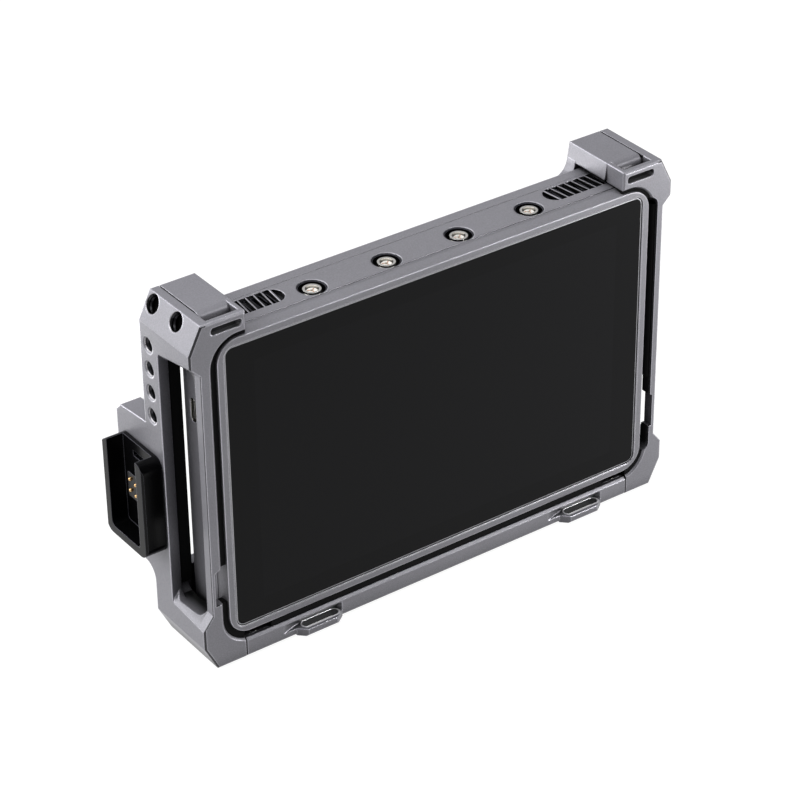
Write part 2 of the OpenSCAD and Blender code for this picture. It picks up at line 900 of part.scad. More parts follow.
module left_lip_pad() {
    color([0.06, 0.06, 0.07]) in_cage() slab(lip_y - pad_t, lip_y)
        rect(-recess_x + fit_gap, -lip_x, slot_foot + slot_r, cage_h - slot_head - slot_r);
}

// Thin strip on the inner face of the right flange, above and below the finger notch
module right_side_pad() {
    half_z = monitor_h / 2 - monitor_corner_r;
    color([0.06, 0.06, 0.07]) in_cage() slab(pad_t, flange_d) {
        rect(right_pad_x - liner_t, right_pad_x, monitor_z - half_z, notch_foot - fit_gap);
        rect(right_pad_x - liner_t, right_pad_x, notch_foot + notch_h - notch_ramp / 2, monitor_z + half_z);
    }
}

// Black seal in the front of the gap between the frames and the monitor
module front_seal() {
    color([0.04, 0.04, 0.05]) in_cage() difference() {
        cavity(cavity_x - fit_gap, cavity_r, pad_t, flange_d);
        translate([0, 0, monitor_z])
            tapered_block(monitor_w + 2 * fit_gap, monitor_h + 2 * fit_gap, monitor_corner_r + fit_gap,
                          bezel_d, bezel_narrow_w);
        // Open between the hooks, above the bar, at the left notch and beside the right strip
        slab(0, cage_d) {
            rect(-hook_x, hook_x, monitor_z, cage_h);
            rect(-bar_seam_x, bar_seam_x, 0, monitor_z);
            rect(-cage_w, 0, notch_foot - fit_gap, notch_foot + notch_h + fit_gap);
            rect(0, cage_w, monitor_z - monitor_h / 2 + monitor_corner_r - slot_r,
                 monitor_z + monitor_h / 2 - monitor_corner_r + slot_r);
        }
    }
}

// Dock

module dock_screw_places() {
    for (z = dock_screw_zs) {
        translate([cage_w / 2 - bracket_t, dock_y + dock_w - dock_wall / 2, z])
            rotate([0, -90, 0]) children();
    }
}

// Tray that an accessory slides into from above, seen from the left
module dock_tray() {
    y0 = dock_y;
    y1 = dock_y + dock_w;
    z0 = dock_z;
    z1 = dock_z + dock_h;
    x0 = -cage_w / 2 - dock_t;
    x1 = -cage_w / 2;
    color([0.07, 0.07, 0.08]) in_cage() difference() {
        run_x(x0, x1) translate([(y0 + y1) / 2, (z0 + z1) / 2]) rounded_rect(dock_w, dock_h, dock_r);
        // Room for the accessory
        run_x(x0 - over, x1 - dock_floor) {
            rect(y0 + dock_front_wall, y1 - dock_wall, z0 + dock_foot_wall + dock_r / 2, z1 + over);
            rect(y0 + dock_front_wall + dock_r / 2, y1 - dock_wall - dock_r / 2,
                 z0 + dock_foot_wall, z1);
            for (y = [y0 + dock_front_wall + dock_r / 2, y1 - dock_wall - dock_r / 2]) {
                translate([y, z0 + dock_foot_wall + dock_r / 2]) circle(dock_r / 2);
            }
        }
        // Catch slot near the top of the floor
        run_x(x1 - dock_floor - over, x1 + over)
            rect((y0 + y1) / 2 - dock_slot_l / 2, (y0 + y1) / 2 + dock_slot_l / 2,
                 z1 - dock_slot_drop - dock_slot_h, z1 - dock_slot_drop);
        // Bevel of the rim's outer edge
        translate([x0, y0, z0]) rotate([0, 0, 45])
            cube([bevel * sqrt(2), bevel * sqrt(2), 3 * dock_h], center = true);
        translate([x0, y1, z0]) rotate([0, 0, 45])
            cube([bevel * sqrt(2), bevel * sqrt(2), 3 * dock_h], center = true);
        mirror([1, 0, 0]) dock_screw_places()
            translate([0, 0, -bracket_t - pin_l]) cylinder(r = pin_r + fit_gap, h = bracket_t + pin_l);
    }
}

contact_face_x = -cage_w / 2 - dock_floor - block_l;
contact_mid_y = dock_y + dock_front_wall + (dock_w - dock_front_wall - dock_wall) / 2 - contact_shift;

module contact_place(column, row) {
    translate([contact_face_x, contact_mid_y + column * contact_step_y,
               block_up + row * contact_step_z + column * contact_offset])
        rotate([0, -90, 0]) children();
}

module dock_contact_block() {
    color([0.1, 0.1, 0.11]) in_cage() difference() {
        run_x(contact_face_x, -cage_w / 2 - dock_floor)
            translate([contact_mid_y, block_up]) rounded_rect(block_w, block_h, bevel);
        for (column = [-1, 1], row = [-1, 1]) {
            contact_place(column, row)
                translate([0, 0, -block_l - over]) cylinder(r = contact_r + fit_gap, h = block_l + 2 * over);
        }
    }
}

// One sprung contact with a rounded tip
module dock_contact(column, row) {
    color([0.83, 0.68, 0.35]) in_cage() contact_place(column, row) {
        translate([0, 0, contact_out - contact_l])
            cylinder(r = contact_r, h = contact_l - contact_r);
        translate([0, 0, contact_out - contact_r]) intersection() {
            sphere(contact_r);
            translate([0, 0, contact_r / 2])
                cube([3 * contact_r, 3 * contact_r, contact_r + 2 * fit_gap], center = true);
        }
    }
}

module dock_contact_1() {
    dock_contact(-1, -1);
}

module dock_contact_2() {
    dock_contact(1, -1);
}

module dock_contact_3() {
    dock_contact(-1, 1);
}

module dock_contact_4() {
    dock_contact(1, 1);
}

module dock_screws() {
    color([0.2, 0.2, 0.2]) in_cage() mirror([1, 0, 0]) dock_screw_places()
        screw(pin_r, pin_head_r, pin_head_t, bracket_t + pin_l - fit_gap);
}

// Monitor

module front_bezel() {
    color([0.5, 0.5, 0.52]) in_monitor() difference() {
        tapered_block(monitor_w, monitor_h, monitor_corner_r, bezel_d, bezel_narrow_w);
        slab(-over, ledge_y) rounded_rect(pocket_w, pocket_h, pocket_r);
        slab(-over, bezel_d + over)
            square([panel_w + 2 * free_gap, panel_h + 2 * free_gap], center = true);
        slab(ledge_y + ledge_t, bezel_d + over)
            rounded_rect(monitor_w - 2 * shell_wall, monitor_h - 2 * shell_wall, monitor_corner_r - shell_wall);
    }
}

// Black seal round the edge of the glass and under its rim
module glass_gasket() {
    color([0.03, 0.03, 0.03]) in_monitor() difference() {
        slab(2 * glass_inset, ledge_y) rounded_rect(pocket_w, pocket_h, pocket_r);
        slab(0, panel_y)
            rounded_rect(pocket_w - 2 * gasket_w, pocket_h - 2 * gasket_w, pocket_r - gasket_w);
        slab(0, cage_d) square([panel_w + 2 * free_gap, panel_h + 2 * free_gap], center = true);
    }
}

module cover_glass() {
    color([0.04, 0.04, 0.05]) in_monitor() slab(glass_inset, panel_y)
        rounded_rect(pocket_w - 2 * gasket_w, pocket_h - 2 * gasket_w, pocket_r - gasket_w);
}

module lcd_panel() {
    color([0.08, 0.08, 0.1]) in_monitor() slab(panel_y, backlight_y)
        square([panel_w, panel_h], center = true);
}

module backlight_unit() {
    color([0.85, 0.85, 0.86]) in_monitor() slab(backlight_y, web_y)
        square([panel_w + 2 * backlight_edge, panel_h + 2 * backlight_edge], center = true);
}

module jack_places() {
    for (i = [0 : jacks - 1]) {
        translate([(i - (jacks - 1) / 2) * jack_pitch, jack_y, monitor_h / 2]) children();
    }
}

// Outline of the right vent, shrunk by a gap
module vent_outline(gap) {
    r = vent_r - gap;
    y0 = vent_y0 + gap;
    y1 = vent_y0 + vent_d - gap;
    rect(vent_in_x + vent_r, vent_out_x - gap, y0, y1);
    rect(vent_in_x + gap, vent_out_x - gap, y0 + r, y1 - r);
    for (y = [y0 + r, y1 - r]) {
        translate([vent_in_x + vent_r, y]) circle(r);
    }
}

// Right vent in the top wall, without its ribs
module vent_opening() {
    run_z(monitor_h / 2 - shell_wall - over, monitor_h / 2 + over) vent_outline(0);
}

module vent_ribs() {
    count = floor((vent_out_x - vent_in_x) / rib_pitch);
    for (i = [1 : count - 1]) {
        run_z(monitor_h / 2 - rib_h, monitor_h / 2 + 2 * over)
            translate([vent_in_x + i * rib_pitch, vent_y0 + vent_d / 2]) rotate(rib_slant)
                square([rib_t, 2 * vent_d], center = true);
    }
}

module mid_frame() {
    inner_w = monitor_w - 2 * shell_wall;
    inner_h = monitor_h - 2 * shell_wall;
    color([0.5, 0.5, 0.52]) in_monitor() difference() {
        union() {
            difference() {
                slab(bezel_d, cover_y) rounded_rect(monitor_w, monitor_h, monitor_corner_r);
                // Tray for the backlight in front of the web, and the space behind it
                slab(bezel_d - over, web_y)
                    square([panel_w + 2 * (backlight_edge + free_gap), panel_h + 2 * (backlight_edge + free_gap)],
                           center = true);
                slab(inside_y, cover_y + over) rounded_rect(inner_w, inner_h, monitor_corner_r - shell_wall);
            }
            board_boss_places(receiver_x, receiver_zs) web_boss(receiver_y);
            board_boss_places(main_x, main_zs) web_boss(main_y);
            for (side = [-1, 1]) {
                translate([side * fan_x, 0, fan_z]) fan_corner_places() web_boss(fan_y);
            }
            cover_post_places() web_boss(cover_y);
            switch_post();
        }
        // Dark seam against the bezel
        difference() {
            slab(bezel_d - over, bezel_d + groove)
                rounded_rect(monitor_w + over, monitor_h + over, monitor_corner_r);
            slab(bezel_d - over, bezel_d + groove + over)
                rounded_rect(monitor_w - 2 * groove, monitor_h - 2 * groove, monitor_corner_r - groove);
        }
        // Wells for the jacks, and room in the web for their bases and nuts
        jack_places() {
            translate([0, 0, -well_d - fit_gap]) cylinder(r = well_r, h = well_d + over);
            translate([-nut_r - free_gap, web_y - jack_y - fit_gap, -jack_inset - jack_l - free_gap])
                cube([2 * (nut_r + free_gap), inside_y - web_y + 2 * over,
                      jack_inset + jack_l + free_gap + fit_gap - well_d]);
        }
        for (side = [0, 1]) {
            mirror([side, 0, 0]) {
                difference() {
                    vent_opening();
                    vent_ribs();
                }
            }
        }
        // Hole for the power button
        translate([monitor_w / 2 - shell_wall - over, button_y, button_z]) rotate([0, 90, 0])
            cylinder(r = button_r + fit_gap, h = shell_wall + 2 * over);
        port_outline(fit_gap, -monitor_w / 2 - over, -monitor_w / 2 + shell_wall + over);
        board_boss_places(receiver_x, receiver_zs) boss_bore(receiver_y);
        board_boss_places(main_x, main_zs) boss_bore(main_y);
        for (side = [-1, 1]) {
            translate([side * fan_x, 0, fan_z]) fan_corner_places() boss_bore(fan_y);
        }
        cover_post_places() slab(cover_y - pin_l, cover_y + over) circle(pin_r + fit_gap);
    }
}

receiver_x = jack_pitch;
receiver_zs = [receiver_top - boss_r, receiver_top - receiver_h + boss_r];
main_x = main_w / 2 - boss_r;
main_top = receiver_top - receiver_h - main_drop;
main_h = main_top + monitor_h / 2 - main_rise;
sink_h = main_h - 2 * sink_end;
main_zs = [main_top - boss_r, main_top - main_h + boss_r];

module board_boss_places(x, zs) {
    for (side = [-1, 1], z = zs) {
        translate([side * x, 0, z]) children();
    }
}

// Round boss on the web, up to a depth
module web_boss(y1) {
    slab(inside_y - over, y1) circle(boss_r);
}

module boss_bore(y1) {
    slab(y1 + board_t + pin_head_t - board_screw_l - fit_gap, y1 + over) circle(pin_r + fit_gap);
}

module rear_cover() {
    w = monitor_w;
    h = monitor_h;
    color([0.48, 0.48, 0.5]) in_monitor() difference() {
        intersection() {
            slab(cover_y, monitor_d) rounded_rect(w, h, monitor_corner_r);
            run_z(-h, h) polygon([
                [-w / 2, cover_y - over], [w / 2, cover_y - over], [w / 2, cover_y + groove],
                [w / 2 - cover_chamfer, monitor_d + fit_gap], [cover_chamfer - w / 2, monitor_d + fit_gap],
                [-w / 2, cover_y + groove]
            ]);
        }
        difference() {
            slab(cover_y - over, monitor_d - cover_t)
                rounded_rect(w - 2 * shell_wall - 2 * cover_chamfer, h - 2 * shell_wall, monitor_corner_r - shell_wall);
            cover_post_places() slab(cover_y - over, monitor_d) circle(boss_r);
        }
        // Air slots over the fans
        for (side = [-1, 1], i = [-4 : 4]) {
            slab(monitor_d - cover_t - over, monitor_d + over)
                translate([side * fan_x, fan_z + i * rib_pitch])
                    square([fan_size - 2 * boss_r, rib_pitch - rib_t - free_gap], center = true);
        }
        cover_screw_places() screw_hole(pin_r, pin_head_r, pin_head_t, cover_screw_l);
        plate_screw_places() screw_hole(pin_r, pin_head_r, pin_head_t, pin_l);
        slab(monitor_d - cover_t - over, monitor_d + over)
            translate([0, latch_z]) square([latch_w + 2 * free_gap, latch_h + 2 * free_gap], center = true);
    }
}

// Posts of the middle frame that the rear cover is screwed to
module cover_post_places() {
    x = monitor_w / 2 - shell_wall - boss_r - free_gap;
    z = monitor_h / 2 - shell_wall - boss_r - free_gap;
    for (place = [[0, z], [0, -z], [x, -z], [-x, -z], [x, post_z], [-x, post_z]]) {
        translate([place[0], 0, place[1]]) children();
    }
}

module cover_screw_places() {
    cover_post_places() translate([0, monitor_d, 0]) rotate([-90, 0, 0]) children();
}

module cover_screws() {
    color([0.2, 0.2, 0.2]) in_monitor() cover_screw_places()
        screw(pin_r, pin_head_r, pin_head_t, cover_screw_l);
}

module left_vent_screen() {
    color([0.05, 0.05, 0.05]) in_monitor() mirror([1, 0, 0]) vent_screen();
}

module right_vent_screen() {
    color([0.05, 0.05, 0.05]) in_monitor() vent_screen();
}

// Black strip with air slots, under the ribs of a vent
module vent_screen() {
    z1 = monitor_h / 2 - shell_wall;
    slots = floor((vent_out_x - vent_in_x) / (2 * screen_slot_w));
    intersection() {
        difference() {
            union() {
                run_z(z1 - screen_t, z1)
                    rect(vent_in_x - bevel, vent_out_x + bevel, vent_y0 - bevel, vent_y0 + vent_d + bevel);
                run_z(z1 - fit_gap, monitor_h / 2 - rib_h - fit_gap) vent_outline(fit_gap);
            }
            for (i = [1 : slots - 1]) {
                translate([vent_in_x + i * 2 * screen_slot_w, vent_y0 + vent_d / 2, z1])
                    cube([screen_slot_w, vent_d - 2 * bevel, 2 * (screen_t + shell_wall)], center = true);
            }
        }
        slab(0, cage_d) {
            rounded_rect(monitor_w - 2 * shell_wall, monitor_h - 2 * shell_wall, monitor_corner_r);
            rect(0, vent_out_x, z1 - fit_gap, monitor_h / 2);
        }
    }
}

// Black cups round the antenna jacks
module jack_wells() {
    r = well_r - fit_gap;
    color([0.04, 0.04, 0.04]) in_monitor() jack_places() difference() {
        translate([0, 0, -well_d]) cylinder(r = r, h = well_d - well_inset);
        translate([0, 0, -well_d + well_floor]) cylinder(r = r - well_wall, h = well_d);
        translate([0, 0, -well_d - over]) cylinder(r = jack_r + fit_gap, h = well_d);
    }
}

// Threaded barrels with their feet on both faces of the receiver board
module antenna_jacks() {
    color([0.82, 0.8, 0.74]) in_monitor() jack_places() {
        difference() {
            union() {
                translate([0, 0, -jack_inset - jack_l]) cylinder(r = jack_r, h = jack_l);
                translate([0, 0, -jack_inset - jack_l]) cylinder(r = jack_base_r, h = jack_base_t);
            }
            translate([0, 0, -jack_inset - jack_l - over]) cylinder(r = jack_bore_r, h = jack_l + 2 * over);
        }
        for (side = [-1, 1], y = [receiver_y - jack_y - jack_foot_t, receiver_y - jack_y + board_t]) {
            translate([side * jack_r - jack_foot_t / 2, y, -jack_inset - jack_l - jack_foot_l])
                cube([jack_foot_t, jack_foot_t, jack_foot_l + jack_base_t / 2]);
        }
    }
}

module jack_insulators() {
    color([0.95, 0.94, 0.9]) in_monitor() jack_places() difference() {
        translate([0, 0, -jack_inset - jack_l])
            cylinder(r = jack_bore_r - fit_gap, h = jack_l - insulator_drop);
        translate([0, 0, -jack_inset - jack_l - over])
            cylinder(r = centre_pin_r + fit_gap, h = jack_l + 2 * over);
    }
}

module jack_centre_pins() {
    color([0.85, 0.7, 0.35]) in_monitor() jack_places() difference() {
        translate([0, 0, -jack_inset - jack_l - jack_foot_l / 2])
            cylinder(r = centre_pin_r, h = jack_l + jack_foot_l / 2 - insulator_drop);
        translate([0, 0, -jack_inset - 2 * insulator_drop])
            cylinder(r = centre_bore_r, h = 2 * insulator_drop);
    }
}

module jack_nuts() {
    color([0.8, 0.8, 0.78]) in_monitor() jack_places() difference() {
        translate([0, 0, -well_d - nut_t]) cylinder(r = nut_r, h = nut_t, $fn = 6);
        translate([0, 0, -well_d - nut_t - over]) cylinder(r = jack_r + fit_gap, h = nut_t + 2 * over);
    }
}

// Board from its lower edge upwards, with shield cans on its back
module receiver_board() {
    mid_z = receiver_top - receiver_h / 2;
    color([0.08, 0.3, 0.16]) in_monitor() difference() {
        union() {
            translate([0, 0, mid_z]) slab(receiver_y, receiver_y + board_t)
                rounded_rect(receiver_w, receiver_h, board_r);
            for (x = [-can_x, 0, can_x]) {
                translate([x, 0, mid_z]) slab(receiver_y + board_t - fit_gap, receiver_y + board_t + can_t)
                    rounded_rect(can_w, can_h, board_r);
            }
        }
        board_boss_places(receiver_x, receiver_zs) board_bore(receiver_y);
    }
}

module main_board() {
    mid_z = main_top - main_h / 2;
    color([0.07, 0.28, 0.15]) in_monitor() difference() {
        union() {
            translate([0, 0, mid_z]) slab(main_y, main_y + board_t)
                rounded_rect(main_w, main_h, board_r);
            // Processor under the heat sink, and memory beside it
            translate([0, 0, mid_z]) slab(main_y, main_y + board_t + chip_t) {
                square(chip_w, center = true);
                for (x = [-1, 1]) {
                    translate([x * chip_w * 1.2, 0]) square([chip_w / 2, chip_w * 0.7], center = true);
                }
            }
        }
        board_boss_places(main_x, main_zs) board_bore(main_y);
    }
}

module board_bore(y0) {
    slab(y0 - over, y0 + board_t + over) circle(pin_r + fit_gap);
}

module heat_sink() {
    y0 = main_y + board_t + chip_t;
    mid_z = main_top - main_h / 2;
    fin_step = (sink_w - fin_t) / (sink_fins - 1);
    color([0.6, 0.6, 0.62]) in_monitor() translate([0, 0, mid_z]) {
        slab(y0, y0 + sink_base_t) square([sink_w, sink_h], center = true);
        for (i = [0 : sink_fins - 1]) {
            slab(y0, y0 + sink_t) translate([i * fin_step - sink_w / 2 + fin_t / 2, 0])
                square([fin_t, sink_h], center = true);
        }
    }
}

module board_screws() {
    color([0.7, 0.7, 0.72]) in_monitor() {
        board_boss_places(receiver_x, receiver_zs) board_screw(receiver_y);
        board_boss_places(main_x, main_zs) board_screw(main_y);
    }
}

module board_screw(y0) {
    translate([0, y0 + board_t + pin_head_t, 0]) rotate([-90, 0, 0])
        screw(pin_r, pin_head_r, pin_head_t, board_screw_l);
}

// Fans

module fan_corner_places() {
    step = fan_size / 2 - boss_r;
    for (x = [-1, 1], z = [-1, 1]) {
        translate([x * step, 0, z * step]) children();
    }
}

// Blower with its axis along Y, centred on the axis: air enters at the back and leaves at the top
module fan_housing() {
    difference() {
        union() {
            difference() {
                slab(0, fan_t) rounded_rect(fan_size, fan_size, fan_corner_r);
                slab(fan_wall, fan_t - fan_wall) {
                    circle(fan_room_r);
                    translate([0, fan_size / 4 + over])
                        square([2 * fan_room_r - 2 * fan_wall, fan_size / 2 + 2 * over], center = true);
                }
                slab(fan_t - fan_wall - over, fan_t + over) circle(fan_room_r - 2 * fan_wall);
            }
            slab(fan_wall - over, fan_wall + bearing_l) circle(bearing_r + fan_wall / 2);
        }
        slab(fan_wall, fan_wall + bearing_l + over) circle(bearing_r + fit_gap);
        fan_corner_places() slab(-over, fan_t + over) circle(pin_r + fit_gap);
    }
}

module at_fan(side) {
    in_monitor() translate([side * fan_x, fan_y, fan_z]) children();
}

module left_fan_housing() {
    color([0.1, 0.1, 0.1]) at_fan(-1) fan_housing();
}

module right_fan_housing() {
    color([0.1, 0.1, 0.1]) at_fan(1) fan_housing();
}

module fan_rotor() {
    // Shaft, hub cup and blades
    slab(fan_wall + free_gap, rotor_y + rotor_l) circle(shaft_r);
    slab(rotor_y + rotor_l - fan_wall, rotor_y + rotor_l) circle(fan_hub_r);
    slab(rotor_y, rotor_y + rotor_l) difference() {
        circle(fan_hub_r);
        circle(fan_hub_r - blade_t);
    }
    for (i = [0 : fan_blades - 1]) {
        rotate([0, i * 360 / fan_blades, 0]) translate([fan_hub_r - blade_t / 2, 0, 0])
            rotate([0, -blade_tilt, 0]) slab(rotor_y, rotor_y + rotor_l)
                translate([0, -blade_t / 2]) square([blade_span, blade_t]);
    }
}

module left_fan_rotor() {
    color([0.16, 0.16, 0.16]) at_fan(-1) fan_rotor();
}

module right_fan_rotor() {
    color([0.16, 0.16, 0.16]) at_fan(1) fan_rotor();
}

module fan_bearings() {
    color([0.7, 0.55, 0.3]) for (side = [-1, 1]) {
        at_fan(side) slab(fan_wall, fan_wall + bearing_l) difference() {
            circle(bearing_r);
            circle(shaft_r + bearing_gap);
        }
    }
}

module fan_screws() {
    color([0.7, 0.7, 0.72]) for (side = [-1, 1]) {
        at_fan(side) fan_corner_places() translate([0, fan_t + pin_head_t, 0]) rotate([-90, 0, 0])
            screw(pin_r, pin_head_r, pin_head_t, fan_t + pin_head_t + boss_r / 2);
    }
}

// Power button and data port

module at_button() {
    in_monitor() translate([monitor_w / 2, button_y, button_z]) rotate([0, 90, 0]) children();
}

module power_button() {
    inner = shell_wall + fit_gap;
    color([0.6, 0.6, 0.62]) at_button() {
        translate([0, 0, -inner]) cylinder(r = button_r, h = inner + button_out - button_edge);
        translate([0, 0, button_out - button_edge])
            cylinder(r1 = button_r, r2 = button_r - button_edge, h = button_edge);
        translate([0, 0, -inner - button_flange_t]) cylinder(r = button_flange_r, h = button_flange_t);
        translate([0, 0, -inner - button_flange_t - button_stem_l])
            cylinder(r = button_stem_r, h = button_stem_l + button_flange_t);
    }
}

switch_x = monitor_w / 2 - shell_wall - fit_gap - button_flange_t - button_stem_l - switch_gap;

module power_switch() {
    color([0.12, 0.12, 0.12]) in_monitor() translate([switch_x, button_y, button_z]) {
        translate([-switch_l, -switch_size / 2, -switch_size / 2])
            cube([switch_l - button_edge, switch_size, switch_size]);
        translate([-switch_l / 2, 0, 0]) rotate([0, 90, 0]) cylinder(r = button_stem_r, h = switch_l / 2);
    }
}

// Wall of the middle frame that carries the switch
module switch_post() {
    translate([switch_x - switch_l - web_t, inside_y - over, button_z - switch_size / 2])
        cube([web_t, button_y + switch_size / 2 - inside_y + over, switch_size]);
}

// Upright slot outline of the data port, grown by a gap
module port_outline(gap, x0, x1) {
    r = port_t / 2 + gap;
    run_x(x0, x1) translate([port_y, port_z]) {
        square([2 * r, port_l - port_t], center = true);
        for (z = [-1, 1]) {
            translate([0, z * (port_l - port_t) / 2]) circle(r);
        }
    }
}

module usb_c_port() {
    x0 = -monitor_w / 2;
    color([0.7, 0.7, 0.72]) in_monitor() {
        difference() {
            port_outline(0, x0, x0 + port_d);
            port_outline(-port_wall, x0 - over, x0 + port_d - port_wall);
        }
        translate([x0 + port_wall, port_y - port_tongue_t / 2, port_z - port_l / 3])
            cube([port_d - port_wall, port_tongue_t, port_l * 2 / 3]);
    }
}

// Battery plate

module plate_screw_places() {
    for (x = [-1, 1], z = [-1, 1]) {
        translate([x * (plate_w / 2 - plate_r - pin_head_r), monitor_d + plate_t,
                   z * (plate_h / 2 - plate_r)]) rotate([-90, 0, 0]) children();
    }
}

// Claw in plan, seen along Z, that holds the battery's side rail
module claw_outline() {
    y0 = monitor_d + plate_t;
    polygon([
        [plate_w / 2, y0 - over],
        [plate_w / 2, y0 + claw_rise],
        [plate_w / 2 - claw_w - claw_lip, y0 + claw_rise],
        [plate_w / 2 - claw_w - claw_lip, y0 + claw_rise - claw_lip_t],
        [plate_w / 2 - claw_w, y0 + claw_rise - claw_lip_t],
        [plate_w / 2 - claw_w, y0 - over]
    ]);
}

module battery_plate() {
    y1 = monitor_d + plate_t;
    color([0.07, 0.07, 0.08]) in_monitor() difference() {
        union() {
            slab(monitor_d, y1) rounded_rect(plate_w, plate_h, plate_r);
            for (side = [0, 1], z = [-plate_h / 4, plate_h / 4]) {
                mirror([side, 0, 0]) run_z(z - claw_l / 2, z + claw_l / 2) claw_outline();
            }
            translate([0, 0, carrier_z]) slab(y1 - over, y1 + carrier_t)
                square([carrier_w, carrier_h], center = true);
        }
        for (i = [-1, 0, 1]) {
            translate([i * blade_pitch, 0, carrier_z]) slab(y1, y1 + carrier_t + over)
                square([blade_pitch / 2, carrier_h + 2 * over], center = true);
        }
        slab(monitor_d - over, y1 + over)
            translate([0, latch_z]) square([latch_w + 2 * free_gap, latch_h + 2 * free_gap], center = true);
        plate_screw_places() screw_hole(pin_r, pin_head_r, pin_head_t, pin_l);
    }
}

module battery_contacts() {
    y1 = monitor_d + plate_t;
    color([0.83, 0.68, 0.35]) in_monitor() for (i = [-1, 0, 1]) {
        translate([i * blade_pitch, 0, carrier_z]) slab(y1, y1 + carrier_t - fit_gap)
            square([contact_r, carrier_h - 2 * fit_gap], center = true);
    }
}

// Sprung catch that keeps the battery from sliding off
module battery_latch() {
    color([0.09, 0.09, 0.1]) in_monitor() translate([0, 0, latch_z]) {
        run_x(-latch_w / 2, latch_w / 2) polygon([
            [monitor_d - cover_t - free_gap, -latch_h / 2],
            [monitor_d + plate_t + latch_out, -latch_h / 2],
            [monitor_d + plate_t + latch_out, 0],
            [monitor_d + plate_t, latch_h / 2],
            [monitor_d - cover_t - free_gap, latch_h / 2]
        ]);
        slab(monitor_d - cover_t - free_gap - latch_flange_t, monitor_d - cover_t - free_gap)
            square([latch_w + 2 * latch_flange, latch_h + 2 * latch_flange], center = true);
    }
}

module plate_screws() {
    color([0.2, 0.2, 0.2]) in_monitor() plate_screw_places()
        screw(pin_r, pin_head_r, pin_head_t, pin_l);
}

left_frame();
right_frame();
rear_bridge();
bottom_bar();
bar_screws();
bridge_screws();
hook_pads();
bottom_pad();
rear_pads();
left_lip_pad();
right_side_pad();
front_seal();
dock_tray();
dock_contact_block();
dock_contact_1();
dock_contact_2();
dock_contact_3();
dock_contact_4();
dock_screws();
front_bezel();
glass_gasket();
cover_glass();
lcd_panel();
backlight_unit();
mid_frame();
rear_cover();
cover_screws();
left_vent_screen();
right_vent_screen();
jack_wells();
antenna_jacks();
jack_insulators();
jack_centre_pins();
jack_nuts();
receiver_board();
main_board();
heat_sink();
board_screws();
left_fan_housing();
right_fan_housing();
left_fan_rotor();
right_fan_rotor();
fan_bearings();
fan_screws();
power_button();
power_switch();
usb_c_port();
battery_plate();
battery_contacts();
battery_latch();
plate_screws();
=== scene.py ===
"""Looks of a wireless field monitor in an aluminium cage: finishes, small details, light and camera.

Metres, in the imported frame: X to the right, Y to the back, Z up from the underside.
"""

import json
import math

import bpy
from mathutils import Matrix, Vector


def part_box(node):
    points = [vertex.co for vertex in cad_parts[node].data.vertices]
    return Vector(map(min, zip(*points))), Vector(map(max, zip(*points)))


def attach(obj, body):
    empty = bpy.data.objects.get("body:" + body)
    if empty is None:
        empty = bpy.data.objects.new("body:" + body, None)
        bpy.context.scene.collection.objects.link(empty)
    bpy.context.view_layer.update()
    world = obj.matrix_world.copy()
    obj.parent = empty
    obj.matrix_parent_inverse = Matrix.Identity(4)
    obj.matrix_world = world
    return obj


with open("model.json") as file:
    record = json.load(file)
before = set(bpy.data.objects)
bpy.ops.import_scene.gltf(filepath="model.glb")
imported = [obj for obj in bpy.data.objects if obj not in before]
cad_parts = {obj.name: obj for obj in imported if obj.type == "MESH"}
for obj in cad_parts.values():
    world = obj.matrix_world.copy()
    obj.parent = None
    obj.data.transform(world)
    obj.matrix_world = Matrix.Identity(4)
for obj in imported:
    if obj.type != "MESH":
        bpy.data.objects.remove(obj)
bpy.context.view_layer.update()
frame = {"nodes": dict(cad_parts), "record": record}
nodes = frame["nodes"]
ROOT = "monitor_in_cage"
MM = 0.001

# Camera, fitted to the cage's straight edges in the photograph
CAMERA_PLACE = Vector((-504.53, -699.64, 605.10)) * MM
CAMERA_YAW = math.radians(-35.399)
CAMERA_PITCH = math.radians(32.068)
CAMERA_ROLL = math.radians(-0.713)
SENSOR_WIDTH = 36.0
LENS = 131.9
CLIP_END = 100.0

# Floor, and soft light that is stronger on the left and behind than in front
FLOOR_SIZE = 40.0
FLOOR_Z = -0.1 * MM
FLOOR_COLOR = (0.17, 0.17, 0.17)
FLOOR_GLOW = 0.90
WORLD_AXIS = (-0.45, 0.60, 0.66)
WORLD_DIM = (0.03, 0.03, 0.03)
WORLD_BRIGHT = (0.80, 0.80, 0.82)
WORLD_FADE = (-0.35, 1.0)

# Area lamps: name, place, the point it faces, width and height, and power in watts
LAMPS = (
    ("key_left", (-0.62, 0.12, 0.50), (-0.08, 0, 0.09), (0.5, 0.4), 2.1),
    ("back_left", (-1.15, 1.30, 0.55), (0, 0, 0.10), (1.2, 0.9), 12.0),
    ("top", (-0.1, -0.05, 1.5), (0, 0, 0.07), (1.3, 1.0), 7.3),
    ("front_right", (0.31, -0.24, 0.085), (0.10, 0, 0.07), (0.16, 0.16), 0.75),
    ("front_high", (0.75, -0.82, 1.12), (0, 0, 0.07), (0.22, 0.22), 4.5),
    ("low_card", (-0.115, 0.215, 0.028), (0.083, 0, 0.130), (0.12, 0.12), 0.26),
)

# Top vents: inner and outer end from the middle, front and rear edge, height of the ribs' tops, depth of
# the painted shade below them, edge of the tops that the painted shade leaves out, radius of the vents'
# ends, and the slanted ribs
VENT_IN, VENT_OUT = 54.5 * MM, 81.5 * MM
VENT_FRONT, VENT_REAR = -5.35 * MM, 3.65 * MM
VENT_TOP = 127.0 * MM
VENT_DEPTH = 2.4 * MM
VENT_EDGE = 0.02 * MM
VENT_R = 4.4 * MM
RIB_PITCH, RIB_HALF = 3.07 * MM, 0.24 * MM
RIB_LEAN = math.tan(math.radians(7.0))

